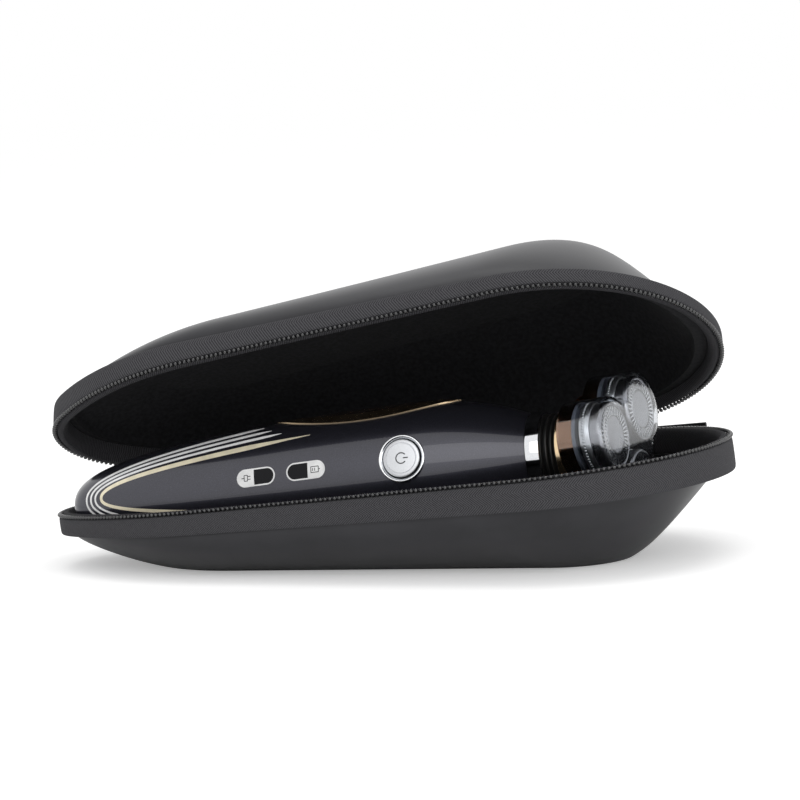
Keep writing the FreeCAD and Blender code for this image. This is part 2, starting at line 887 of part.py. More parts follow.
def make_frame():
    plate = lobes(lobe_radius, frame_low, frame_high, unit_pitch_radius)
    plate = plate.cut(rod(1.2 + pin_clearance, frame_low - 1, frame_high + 1))
    for index in range(unit_count):
        centre = unit_centre(index)
        boss = rod(web_hole + 1.2, frame_low, holder_low - 0.35, V(1, 0, 0), centre)
        hole = rod(gear_spindle_radius + 0.35, frame_low - 1, holder_low + 1,
                   V(1, 0, 0), centre)
        plate = plate.fuse(boss).cut(hole)
    return plate.removeSplitter()


def make_holder(index):
    outer = unit_radius - 0.2
    cup = rod(outer, holder_low, holder_high)
    cup = cup.cut(rod(outer - holder_wall, holder_low + holder_web, holder_high + 1))
    cup = cup.cut(rod(web_hole, holder_low - 1, holder_high))
    return move_to_unit(cup, index)


def make_foil(index):
    wall_top = foil_low + foil_wall_height
    points = [
        (foil_low, unit_radius - 0.7),
        (foil_low, unit_radius),
        (wall_top, unit_radius),
        (foil_top, foil_track_radius),
        (foil_top, foil_disc_radius + 0.4),
        (foil_top - foil_skin / 2, foil_disc_radius + 0.4),
        (foil_top - foil_skin / 2, foil_disc_radius),
        (foil_top + foil_skin / 4, foil_disc_radius - 0.3),
        (foil_top + foil_skin / 4, 0.0),
        (track_under, 0.0),
        (track_under, foil_track_radius - 0.1),
        (wall_top - 0.1, unit_radius - 0.7),
    ]
    corners = []
    for x, r in points:
        corners.append(V(x, 0, r))
    corners.append(corners[0])
    face = Part.Face(Part.makePolygon(corners))
    return move_to_unit(face.revolve(V(0, 0, 0), V(1, 0, 0), 360), index)


def make_cutter(index):
    disc = rod(cutter_radius, disc_top - cutter_disc, disc_top)
    windows = rod(cutter_radius - 1.6, disc_top - 2, disc_top + 1).cut(
        rod(4.0, disc_top - 3, disc_top + 2))
    hub_low = holder_low + holder_web + 0.4
    hub = rod(2.6, hub_low, disc_top - cutter_disc + 0.1)
    spoke_half = cutter_blade_width / 2
    blades = []
    for blade in range(cutter_blades):
        vane = box(disc_top - cutter_disc, track_under - cutter_clear,
                   -spoke_half, spoke_half, 3.6, cutter_radius - 0.3)
        vane.rotate(V(0, 0, 0), V(1, 0, 0), 360.0 / cutter_blades * blade)
        blades.append(vane)
    body = disc.cut(windows).fuse(hub)
    for vane in blades:
        body = body.fuse(vane)
    socket = rod(socket_radius, hub_low - 1, holder_low + 3.1)
    return move_to_unit(body.cut(socket).removeSplitter(), index)


def make_cap():
    outer = lobe_radius + cap_clearance + cap_wall
    skin = lobes(outer, head_floor + 0.4, cap_front + cap_wall, unit_pitch_radius + 1.0)
    room = lobes(outer - cap_wall, head_floor - 1, cap_front,
                 unit_pitch_radius + 1.0 - cap_wall)
    slot_half = 0.35
    cap = skin.cut(room)
    for index in range(unit_count):
        notch = box(head_floor, head_floor + 3.6, -slot_half, slot_half,
                    unit_pitch_radius + lobe_radius - 2, 40)
        notch.rotate(V(0, 0, 0), V(1, 0, 0), -360.0 / unit_count * index)
        cap = cap.cut(notch)
    return cap


def build_head(parts):
    local = {
        "head_base": make_head_base(),
        "gold_collar": make_collar(),
        "head_frame": make_frame(),
        "drive_pinion": make_pinion(),
        "clear_cap": make_cap(),
    }
    for index, letter in enumerate("abc"):
        local["gear_" + letter] = make_gear(index)
        local["holder_" + letter] = make_holder(index)
        local["foil_" + letter] = make_foil(index)
        local["cutter_" + letter] = make_cutter(index)
    for name, shape in local.items():
        parts[name] = to_head(shape)


# Placing everything

case_place = FreeCAD.Placement(V(0, 0, parting_height),
                               FreeCAD.Rotation(V(0, 1, 0), -parting_tilt_deg))
shaver_turn = FreeCAD.Rotation(V(0, 0, 1), shaver_yaw_deg).multiply(
    FreeCAD.Rotation(V(0, 1, 0), shaver_pitch_deg)).multiply(
    FreeCAD.Rotation(V(1, 0, 0), 90 - shaver_roll_deg))
shaver_place = case_place.multiply(
    FreeCAD.Placement(V(shaver_start_u, shaver_start_v, shaver_start_w), shaver_turn))


def moved(shape, place):
    copy = shape.copy()
    copy.Placement = place.multiply(copy.Placement)
    return copy


def opened(shape):
    shape = shape.mirror(V(0, 0, 0), V(0, 0, 1))
    shape.rotate(hinge_point, hinge_dir, -lid_open_deg)
    return shape


def build_case(parts):
    for name, half in (("base", base_half), ("lid", lid_half)):
        pieces = {
            "shell": make_shell(half),
            "lining": make_lining(half),
            "rim_band": make_band(half),
            "zipper_tape": make_tape(half),
            "zipper_chain": make_chain(),
            "zipper_stops": make_stops(),
            "hinge_strip": make_hinge_strip(),
        }
        for piece, shape in pieces.items():
            parts[name + "_" + piece] = shape if name == "base" else opened(shape)
    parts["slider_head_end"] = make_slider(head_arc_centre, head_arc_radius, head_slider_deg)
    parts["slider_tail_end"] = make_slider(tail_arc_centre, tail_flank_radius, tail_slider_deg)
    parts["pull_head_end"] = make_pull(head_arc_centre, head_arc_radius, head_slider_deg, -1)
    parts["pull_tail_end"] = make_pull(tail_arc_centre, tail_flank_radius, tail_slider_deg, 1)


def main():
    os.makedirs("parts", exist_ok=True)
    case_parts = {}
    build_case(case_parts)
    shaver_parts = {}
    stem_low = build_handle(shaver_parts)
    build_inside(shaver_parts, stem_low)
    build_neck(shaver_parts)
    build_head(shaver_parts)
    for group, place in ((case_parts, case_place), (shaver_parts, shaver_place)):
        for name, shape in group.items():
            solid = moved(shape, place)
            solid.exportStep("parts/" + name + ".step")
            print(name, len(solid.Solids), round(solid.Volume, 2), solid.isValid())


main()
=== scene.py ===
import math

import bmesh
import bpy
from mathutils import Matrix, Vector


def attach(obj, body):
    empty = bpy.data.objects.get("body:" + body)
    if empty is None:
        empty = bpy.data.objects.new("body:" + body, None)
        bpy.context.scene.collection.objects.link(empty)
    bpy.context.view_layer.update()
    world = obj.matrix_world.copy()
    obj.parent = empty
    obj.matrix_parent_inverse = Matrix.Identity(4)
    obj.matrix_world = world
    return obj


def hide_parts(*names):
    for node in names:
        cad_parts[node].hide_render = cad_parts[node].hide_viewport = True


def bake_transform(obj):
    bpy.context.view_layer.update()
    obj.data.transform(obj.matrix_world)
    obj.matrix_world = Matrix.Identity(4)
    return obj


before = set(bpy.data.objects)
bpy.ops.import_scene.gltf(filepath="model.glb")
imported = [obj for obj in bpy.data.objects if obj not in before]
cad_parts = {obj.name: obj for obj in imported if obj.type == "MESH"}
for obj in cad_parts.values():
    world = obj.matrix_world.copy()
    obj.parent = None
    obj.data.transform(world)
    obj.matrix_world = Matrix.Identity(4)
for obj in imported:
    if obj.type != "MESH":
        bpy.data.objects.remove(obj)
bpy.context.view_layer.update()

# A moulded zip-round travel case, partly open, with a three-head rotary shaver lying in it.
# Sizes are millimetres in the case's, the shaver's or the head's own frame.

MM = 0.001

# Case sizes
PARTING_HEIGHT = 24.0
PARTING_TILT = math.radians(5.0)
LID_OPEN = math.radians(30.7)
REACH = 97.5
HALF_WIDTH = 42.0
LEAN = math.tan(math.radians(5.4))
TAIL_RADIUS = 24.0
FLANK_RADIUS = 80.0
RIM_DROP = 1.35
BAND_INSET = 0.4
BAND_INNER = 1.6
SHELL_WALL = 1.5
LINING = 0.5
GAP = 0.05
BASE_HALF = (8.0, math.radians(1.1))
LID_HALF = (6.5, math.radians(-0.9))
HINGE_HALF = 38.0

# Shaver sizes
HANDLE_LENGTH = 133.6
HANDLE_SIDE = 18.8
HANDLE_FRONT = 18.4
HANDLE_BACK = 17.6
SPLIT_HEIGHT = 4.0
BUTTON_X = 101.2
WINDOW_X = (58.5, 73.3)
PIVOT_X = 141.2
HEAD_LEAN = math.radians(10.0)
UNIT_PITCH = 11.6
UNIT_RADIUS = 9.7
LOBE_RADIUS = 10.0
HEAD_FLOOR = 8.6
FRAME_LOW = 13.1
HOLDER_LOW = 15.1
HOLDER_HIGH = 17.9
FOIL_TOP = 21.05
CAP_FRONT = 21.75
CAP_WALL = 0.6

# Frames
CASE = Matrix.Translation((0, 0, PARTING_HEIGHT)) @ Matrix.Rotation(-PARTING_TILT, 4, "Y")
hinge_turn = math.atan(LEAN)
HINGE_DIR = Vector((math.cos(hinge_turn), math.sin(hinge_turn), 0))
HINGE_POINT = Vector((0, HALF_WIDTH, 0)) + 0.5 * Vector((-HINGE_DIR.y, HINGE_DIR.x, 0))
OPENING = (Matrix.Translation(HINGE_POINT) @ Matrix.Rotation(-LID_OPEN, 4, HINGE_DIR)
           @ Matrix.Translation(-HINGE_POINT))
LID = CASE @ OPENING @ Matrix.Diagonal((1, 1, -1, 1))
SHAVER = (CASE @ Matrix.Translation((-89.3, -3.0, -1.0))
          @ Matrix.Rotation(math.radians(-0.55), 4, "Y")
          @ Matrix.Rotation(math.radians(90 - 18.0), 4, "X"))
HEAD = SHAVER @ Matrix.Translation((PIVOT_X, 0, 0)) @ Matrix.Rotation(-HEAD_LEAN, 4, "Y")


# Building a piece

def piece(name, points, faces, place, body, material, node=(), smooth=30.0, uv=None):
    """A mesh in metres from points in a millimetre frame, riding on its body."""
    mesh = bpy.data.meshes.new(name)
    mesh.from_pydata([MM * (place @ Vector(p)) for p in points], [], faces)
    if uv is not None:
        layer = mesh.uv_layers.new(name="UVMap")
        for loop in mesh.loops:
            layer.data[loop.index].uv = uv[loop.index]
    face_outward(mesh)
    obj = bpy.data.objects.new(name, mesh)
    bpy.context.collection.objects.link(obj)
    return dress(obj, body, material, node, smooth)


def face_outward(mesh):
    work = bmesh.new()
    work.from_mesh(mesh)
    bmesh.ops.recalc_face_normals(work, faces=work.faces)
    work.to_mesh(mesh)
    work.free()


def dress(obj, body, material, node=(), smooth=30.0):
    """Material, smooth shading up to an angle, body (if it follows only one) and the
    nodes it stands for."""
    obj.data.materials.clear()
    obj.data.materials.append(material)
    obj.data.polygons.foreach_set("use_smooth", [True] * len(obj.data.polygons))
    obj.data.set_sharp_from_angle(angle=math.radians(smooth))
    if body:
        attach(obj, body)
    if node:
        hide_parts(*([node] if isinstance(node, str) else node))
    return obj


def skin(loops, around=True, first=False, last=False, ring=False):
    """Points and faces over loops with equal numbers of points. ring joins the last loop
    to the first; first and last close the ends."""
    n = len(loops[0])
    points = [p for loop in loops for p in loop]
    faces = []
    for r in range(len(loops) if ring else len(loops) - 1):
        a = r * n
        b = ((r + 1) % len(loops)) * n
        for c in range(n if around else n - 1):
            d = (c + 1) % n
            faces.append((a + c, a + d, b + d, b + c))
    if first:
        faces.append(tuple(range(n - 1, -1, -1)))
    if last:
        faces.append(tuple(range((len(loops) - 1) * n, len(loops) * n)))
    return points, faces


def several(parts):
    """One mesh from several lists of points and faces."""
    points, faces = [], []
    for more, sides in parts:
        start = len(points)
        points += more
        faces += [tuple(i + start for i in side) for side in sides]
    return points, faces


def turned(profile, count=96, centre=(0, 0, 0)):
    """A profile of (x, radius) turned about the X axis; radius 0 is a pole."""
    points, faces, rows = [], [], []
    for x, radius in profile:
        start = len(points)
        if radius < 1e-6:
            points.append((centre[0] + x, centre[1], centre[2]))
            rows.append([start] * count)
            continue
        for i in range(count):
            a = 2 * math.pi * i / count
            points.append((centre[0] + x, centre[1] + radius * math.cos(a),
                           centre[2] + radius * math.sin(a)))
        rows.append(list(range(start, start + count)))
    for a, b in zip(rows, rows[1:] + rows[:1]):
        if a is rows[-1] and a[0] == a[1] and b[0] == b[1]:
            continue
        for c in range(count):
            d = (c + 1) % count
            side = []
            for i in (a[c], a[d], b[d], b[c]):
                if i not in side:
                    side.append(i)
            if len(side) > 2:
                faces.append(tuple(side))
    return points, faces


def rounded(corners, radius, steps=5):
    """A closed profile with its corners rounded off."""
    out = []
    n = len(corners)
    for i in range(n):
        p = Vector(corners[i])
        a = Vector(corners[i - 1]) - p
        b = Vector(corners[(i + 1) % n]) - p
        cut = min(radius, 0.45 * a.length, 0.45 * b.length)
        start = p + a.normalized() * cut
        stop = p + b.normalized() * cut
        for s in range(steps + 1):
            t = s / steps
            out.append(tuple((1 - t) ** 2 * start + 2 * t * (1 - t) * p + t * t * stop))
    return out


# Outline of the rim and of the level lines of the moulded wall

def outline_arcs(head_reach, tail_reach, half_width, slope, end_radius, flank_radius):
    run = math.cos(math.atan(slope))
    head_radius = (slope * head_reach + half_width) * run / (1 + slope * run)
    end_centre = end_radius - tail_reach
    offset = half_width - flank_radius / run
    a = 1 + slope ** 2
    b = 2 * (slope * offset - end_centre)
    c = end_centre ** 2 + offset ** 2 - (flank_radius - end_radius) ** 2
    flank_u = (-b + math.sqrt(b * b - 4 * a * c)) / (2 * a)
    return head_radius, head_reach - head_radius, end_centre, flank_u, slope * flank_u + offset


def outline(head_reach, tail_reach, half_width, slope, end_radius, flank_radius, count=1.0):
    """Points (u, v, normal u, normal v) round the outline, from the head tip and
    anticlockwise: head arc, straight side, flank arc, tail arc, and back."""
    arcs = outline_arcs(head_reach, tail_reach, half_width, slope, end_radius, flank_radius)
    head_radius, head_centre, end_centre, flank_u, flank_v = arcs
    side = math.pi / 2 + math.atan(slope)
    end = math.atan2(-flank_v, end_centre - flank_u)
    straight = (Vector((head_centre + head_radius * math.cos(side),
                        head_radius * math.sin(side))),
                Vector((flank_u + flank_radius * math.cos(side),
                        flank_v + flank_radius * math.sin(side))))
    upper = []
    for u0, v0, radius, start, stop, parts in (
            (head_centre, 0, head_radius, 0, side, 48),
            (None, None, 0, side, side, 36),
            (flank_u, flank_v, flank_radius, side, end, 26),
            (end_centre, 0, end_radius, end, math.pi, 22)):
        parts = max(4, round(parts * count))
        for i in range(parts):
            angle = start + (stop - start) * i / parts
            if u0 is None:
                p = straight[0].lerp(straight[1], i / parts)
                upper.append((p.x, p.y, math.cos(side), math.sin(side)))
            else:
                upper.append((u0 + radius * math.cos(angle), v0 + radius * math.sin(angle),
                              math.cos(angle), math.sin(angle)))
    tip = (-tail_reach, 0.0, -1.0, 0.0)
    lower = [(u, -v, nu, -nv) for u, v, nu, nv in reversed(upper[1:])]
    return upper + [tip] + lower


def rim(inset=0.0, count=1.0):
    run = math.cos(math.atan(LEAN))
    return outline(REACH - inset, REACH - inset, HALF_WIDTH - inset / run, LEAN,
                   TAIL_RADIUS - inset, FLANK_RADIUS - inset, count)


def seam_w(half, u):
    return -half[0] - u * math.tan(half[1])


def rim_loop(inset, w, half=None, count=1.0):
    """A line round the rim at a height, or at a height above the leaning seam."""
    return [(u, v, w + (seam_w(half, u) if half else 0.0)) for u, v, nu, nv in rim(inset, count)]


def wall_loop(half, share, inset, lift):
    """Level line of the moulded wall: share 0 at the seam, 1 at the flat resting face."""
    round_off = 2.0 * share ** 9
    head = REACH - 6.0 - 21.8 * share - round_off - inset
    tail = REACH - 4.2 - 21.0 * share ** 1.4 - round_off - inset
    side = HALF_WIDTH - 1.4 - 20.3 * share ** 1.8 - round_off - inset
    ratio = side / HALF_WIDTH
    loop = outline(head, tail, side, LEAN * ratio * (1 - share), TAIL_RADIUS * ratio,
                   FLANK_RADIUS * ratio)
    fan_u = ((half[0] - PARTING_HEIGHT / math.cos(PARTING_TILT))
             / (math.tan(PARTING_TILT) - math.tan(half[1])))
    turn = half[1] + (PARTING_TILT - half[1]) * share
    points = []
    for u, v, nu, nv in loop:
        du = u - fan_u
        points.append((fan_u + du * math.cos(turn), v,
                       seam_w(half, fan_u) + lift - du * math.sin(turn)))
    return points


def shrink(loop, factor):
    n = len(loop)
    c = [sum(p[i] for p in loop) / n for i in range(3)]
    return [tuple(c[i] + (p[i] - c[i]) * factor for i in range(3)) for p in loop]


WALL_SHARES = [0.0, 0.012] + [i / 24 for i in range(1, 20)] + [
    0.83, 0.87, 0.9, 0.93, 0.955, 0.975, 0.99, 1.0]


def bowl_loops(half, inset):
    """Loops of one side of the moulded wall, from the rim's top to the resting face."""
    loops = [rim_loop(BAND_INNER + inset, -RIM_DROP),
             rim_loop(BAND_INNER + inset, inset + 0.4, half),
             rim_loop(BAND_INNER + inset, inset, half)]
    for share in WALL_SHARES:
        loops.append(wall_loop(half, share, inset, inset * share
                               + (inset if share == 0.0 else 0.0)))
    last = loops[-1]
    for factor in (0.97, 0.75, 0.45, 0.2):
        loops.append(shrink(last, factor))
    return loops


# Finishes

class Finish:
    """Short way to build one procedural material."""

    def __init__(self, name, colour, roughness, metallic=0.0, **sockets):
        self.material = bpy.data.materials.new(name)
        self.material.use_nodes = True
        self.nodes = self.material.node_tree.nodes
        self.links = self.material.node_tree.links
        self.shader = self.nodes["Principled BSDF"]
        self.shader.inputs["Base Color"].default_value = (*colour, 1)
        self.shader.inputs["Roughness"].default_value = roughness
        self.shader.inputs["Metallic"].default_value = metallic
        for key, value in sockets.items():
            self.shader.inputs[key.replace("_", " ")].default_value = value

    def add(self, kind, **settings):
        node = self.nodes.new(kind)
        for key, value in settings.items():
            if hasattr(node, key):
                setattr(node, key, value)
            else:
                node.inputs[key.replace("_", " ")].default_value = value
        return node

    def link(self, source, output, target, socket):
        self.links.new(source.outputs[output], target.inputs[socket])

    def sum(self, kind, a, b=None):
        """A math node on outputs (node, name) or plain numbers."""
        node = self.add("ShaderNodeMath", operation=kind)
        for i, value in enumerate((a, b)):
            if value is None:
                continue
            if isinstance(value, tuple):
                self.links.new(value[0].outputs[value[1]], node.inputs[i])
            else:
                node.inputs[i].default_value = value
        return node, 0

    def noise(self, scale, detail=4.0, stretch=None):
        texture = self.add("ShaderNodeTexNoise", Scale=scale, Detail=detail)
        place = self.add("ShaderNodeTexCoord")
        if stretch:
            turn = self.add("ShaderNodeMapping")
            turn.inputs["Scale"].default_value = stretch
            self.link(place, "Object", turn, "Vector")
            self.link(turn, "Vector", texture, "Vector")
        else:
            self.link(place, "Object", texture, "Vector")
        return texture

    def colour_from(self, texture, output, low, high, start=0.35, stop=0.65):
        ramp = self.add("ShaderNodeValToRGB")
        ramp.color_ramp.elements[0].position = start
        ramp.color_ramp.elements[1].position = stop
        ramp.color_ramp.elements[0].color = (*low, 1)
        ramp.color_ramp.elements[1].color = (*high, 1)
        self.link(texture, output, ramp, "Fac")
        self.link(ramp, "Color", self.shader, "Base Color")

    def roughness_from(self, texture, output, low, high):
        spread = self.add("ShaderNodeMapRange")
        spread.inputs["To Min"].default_value = low
        spread.inputs["To Max"].default_value = high
        self.link(texture, output, spread, "Value")
        self.link(spread, "Result", self.shader, "Roughness")

    def bump_from(self, texture, output, strength, distance):
        bump = self.add("ShaderNodeBump", Strength=strength, Distance=distance)
        self.link(texture, output, bump, "Height")
        self.link(bump, "Normal", self.shader, "Normal")


def satin_shell_cloth():
    """Smooth satin cloth laminated on the moulded foam: fine weave and soft clouding."""
    f = Finish("satin_shell_cloth", (0.036, 0.036, 0.039), 0.32)
    f.shader.inputs["Specular IOR Level"].default_value = 0.2
    f.shader.inputs["Sheen Weight"].default_value = 0.02
    cloud = f.noise(60.0, 5.0)
    f.colour_from(cloud, "Fac", (0.033, 0.033, 0.036), (0.041, 0.041, 0.045))
    f.roughness_from(cloud, "Fac", 0.28, 0.36)
    weave = f.noise(2400.0, 2.0)
    f.bump_from(weave, "Fac", 0.10, 0.00005)
    return f.material


def herringbone(name, low, high, rib, column, slope=1.0, depth=0.00016):
    """Woven tape with chevron columns: UV is millimetres along and across the tape."""
    f = Finish(name, low, 0.85)
    f.shader.inputs["Specular IOR Level"].default_value = 0.25
    place = f.add("ShaderNodeTexCoord")
    axes = f.add("ShaderNodeSeparateXYZ")
    f.link(place, "UV", axes, "Vector")
    fold = f.sum("PINGPONG", (axes, "Y"), column)
    lead = f.sum("MULTIPLY", fold, slope)
    phase = f.sum("ADD", (axes, "X"), lead)
    wave = f.sum("SINE", f.sum("MULTIPLY", phase, 2 * math.pi / rib))
    half = f.sum("MULTIPLY", wave, 0.5)
    height = f.sum("ADD", half, 0.5)
    fuzz = f.noise(1800.0, 3.0)
    mixed = f.sum("ADD", f.sum("MULTIPLY", height, 0.7), f.sum("MULTIPLY", (fuzz, "Fac"), 0.5))
    f.colour_from(mixed[0], 0, low, high, 0.2, 0.85)
    f.bump_from(mixed[0], 0, 0.8, depth)
    return f.material


def napped_lining():
    f = Finish("napped_lining", (0.009, 0.009, 0.010), 0.92)
    f.shader.inputs["Sheen Weight"].default_value = 0.05
    f.shader.inputs["Specular IOR Level"].default_value = 0.2
    nap = f.noise(900.0, 4.0)
    f.colour_from(nap, "Fac", (0.007, 0.007, 0.008), (0.014, 0.014, 0.016))
    f.bump_from(nap, "Fac", 0.5, 0.0002)
    return f.material


def plain(name, colour, roughness, metallic=0.0, grain=600.0, depth=0.00002, vary=0.09,
          **sockets):
    """Moulded or metal finish: slight clouding of colour and shine, and a fine grain."""
    f = Finish(name, colour, roughness, metallic, **sockets)
    cloud = f.noise(grain, 3.0)
    f.colour_from(cloud, "Fac", tuple(c * (1 - vary) for c in colour),
                  tuple(min(1.0, c * (1 + vary)) for c in colour))
    f.roughness_from(cloud, "Fac", roughness * 0.85, roughness * 1.15)
    f.bump_from(cloud, "Fac", 0.3, depth)
    return f.material


def metal(name, colour, roughness, grain=2600.0):
    """Bright metal: fine even grain, soft handling marks in its shine."""
    f = Finish(name, colour, roughness, 1.0)
    fine = f.noise(grain, 2.0)
    f.colour_from(fine, "Fac", tuple(c * 0.97 for c in colour),
                  tuple(min(1.0, c * 1.03) for c in colour))
    marks = f.noise(90.0, 3.0)
    f.roughness_from(marks, "Fac", roughness * 0.8, roughness * 1.25)
    f.bump_from(fine, "Fac", 0.05, 0.000004)
    return f.material


def deep_gloss(name, low, high, roughness=0.06, metallic=0.0):
    """Lacquered plastic with a fine sparkle under a clear coat."""
    f = Finish(name, low, roughness, metallic, Coat_Weight=1.0, Coat_Roughness=0.03)
    fleck = f.noise(5000.0, 1.0)
    f.colour_from(fleck, "Fac", low, high, 0.45, 0.75)
    wave = f.noise(35.0, 2.0)
    f.bump_from(wave, "Fac", 0.05, 0.00004)
    return f.material


def clear_moulding():
    f = Finish("clear_moulding", (0.93, 0.95, 0.97), 0.03, Transmission_Weight=1.0, IOR=1.46)
    smear = f.noise(70.0, 3.0)
    f.roughness_from(smear, "Fac", 0.02, 0.07)
    return f.material


SHELL = satin_shell_cloth()
BAND = herringbone("twill_band", (0.016, 0.016, 0.018), (0.075, 0.074, 0.08), 0.76, 3.4)
TAPE = herringbone("ribbed_tape", (0.010, 0.010, 0.011), (0.048, 0.047, 0.052), 0.7, 2.2, 0.6)
HINGE_CLOTH = plain("hinge_cloth", (0.024, 0.024, 0.026), 0.85, grain=1500.0, depth=0.0001)
LINING_CLOTH = napped_lining()
TEETH = plain("black_teeth", (0.016, 0.016, 0.017), 0.2, Coat_Weight=0.8)
BLACK_METAL = plain("black_enamel_metal", (0.02, 0.02, 0.021), 0.32, 0.6)
GLOSS = deep_gloss("blue_black_gloss", (0.034, 0.034, 0.046), (0.052, 0.052, 0.070), 0.3, 0.7)
BROWN_GLOSS = deep_gloss("brown_black_gloss", (0.040, 0.024, 0.016), (0.062, 0.038, 0.026), 0.25, 0.7)
WINDOW = plain("smoked_window", (0.004, 0.004, 0.006), 0.08, Specular_IOR_Level=0.2)
PRINT_WHITE = plain("white_print", (0.90, 0.90, 0.90), 0.35, grain=300.0)
PRINT_CREAM = plain("cream_gold_print", (0.88, 0.80, 0.60), 0.3, 0.15, grain=300.0)
# Dark print on the symbols; also used as painted shade for the gaps between the foil bars
DARK_PRINT_AND_SLOT_SHADE = plain("dark_print_and_slot_shade", (0.03, 0.03, 0.034), 0.4)
GOLD = metal("satin_gold", (0.86, 0.66, 0.42), 0.18)
BRONZE = metal("bronze_lacquer", (0.24, 0.13, 0.075), 0.12, 500.0)
CHROME = metal("bright_chrome", (0.80, 0.81, 0.83), 0.05)
SILVER = metal("satin_silver", (0.56, 0.57, 0.59), 0.3)
STEEL = metal("plain_steel", (0.52, 0.52, 0.54), 0.22)
FOIL = metal("fine_foil_steel", (0.34, 0.34, 0.36), 0.28)
BAR = metal("bright_slot_bars", (0.66, 0.67, 0.69), 0.16)
RUBBER = plain("soft_black_rubber", (0.008, 0.008, 0.008), 0.42)
MOULDED = plain("moulded_black", (0.03, 0.03, 0.033), 0.4)
SLATE = plain("slate_moulding", (0.16, 0.18, 0.22), 0.3, 0.3)
WHITE_GEAR = plain("slick_white", (0.75, 0.75, 0.71), 0.35)
BOARD = plain("green_board", (0.02, 0.16, 0.07), 0.4)
CELL = plain("blue_cell_sleeve", (0.05, 0.14, 0.33), 0.35)
CLEAR = clear_moulding()


# Case: shells, linings, bands and tapes

def build_shell(prefix, half, place):
    outside = bowl_loops(half, 0.0)
    inside = bowl_loops(half, SHELL_WALL)
    points, faces = skin(list(reversed(inside)) + outside, first=True, last=True)
    piece(prefix + "_moulded_shell", points, faces, place, prefix, SHELL, prefix + "_shell")


def build_lining(prefix, half, place):
    outside = bowl_loops(half, SHELL_WALL + GAP)
    inside = bowl_loops(half, SHELL_WALL + GAP + LINING)
    points, faces = skin(list(reversed(inside)) + outside, first=True, last=True)
    piece(prefix + "_inner_lining", points, faces, place, prefix, LINING_CLOTH,
          prefix + "_lining", smooth=60)


def sweep_rim(name, profile, place, body, material, node=(), smooth=40.0):
    """A closed profile swept round the rim, UV in millimetres. profile(u, v) gives the
    points (inset, w) at a place on the rim."""
    base = rim(0.0, 3.0)
    rows = [profile(u, v) for u, v, nu, nv in base]
    loops = []
    for k in range(len(rows[0])):
        loops.append([(p[0] - p[2] * row[k][0], p[1] - p[3] * row[k][0], row[k][1])
                      for p, row in zip(base, rows)])
    points, faces = skin(loops, ring=True)
    along = [0.0]
    for a, b in zip(base, base[1:] + base[:1]):
        along.append(along[-1] + math.hypot(b[0] - a[0], b[1] - a[1]))
    across = [0.0]
    for a, b in zip(rows[0], rows[0][1:] + rows[0][:1]):
        across.append(across[-1] + math.hypot(b[0] - a[0], b[1] - a[1]))
    uv = []
    for r in range(len(loops)):
        for c in range(len(base)):
            uv += [(along[c], across[r]), (along[c + 1], across[r]),
                   (along[c + 1], across[r + 1]), (along[c], across[r + 1])]
    return piece(name, points, faces, place, body, material, node, smooth, uv)


# Across the band: how far in, and how far down from its top edge to the seam
BAND_SECTION = [(1.55, 0.0), (0.95, 0.0), (0.62, 0.012), (0.46, 0.05), (0.38, 0.13),
                (0.34, 0.3), (0.33, 0.5), (0.34, 0.7), (0.38, 0.87), (0.46, 0.95),
                (0.62, 0.988), (0.95, 1.0), (1.55, 1.0)]


def build_band(prefix, half, place):
    top = -RIM_DROP - GAP

    def profile(u, v):
        low = seam_w(half, u)
        return [(inset, top + (low - top) * share) for inset, share in BAND_SECTION]
    sweep_rim(prefix + "_woven_band", profile, place, prefix, BAND, prefix + "_rim_band")


def build_tape(prefix, half, place):
    """Folded inner tape: a soft roll beside the teeth, then down over the lining's edge."""
    def profile(u, v):
        low = seam_w(half, u) + 2.3
        roll = 0.45 * min(max((-u - 20.0) / 60.0, 0.0), 1.0)
        return [(1.72, -1.25), (1.7, -0.85 + 0.6 * roll), (1.98, -0.62 + roll),
                (2.6, -0.55 + roll), (3.3, -0.7 + roll),
                (3.95, -1.15), (4.4, -1.9), (4.62, -2.9), (4.6, low + 0.3), (4.5, low),
                (3.85, low), (3.78, low + 0.3), (3.78, -1.45), (3.6, -1.28)]
    sweep_rim(prefix + "_inner_tape", profile, place, prefix, TAPE, prefix + "_zipper_tape")


# What repeats along a path

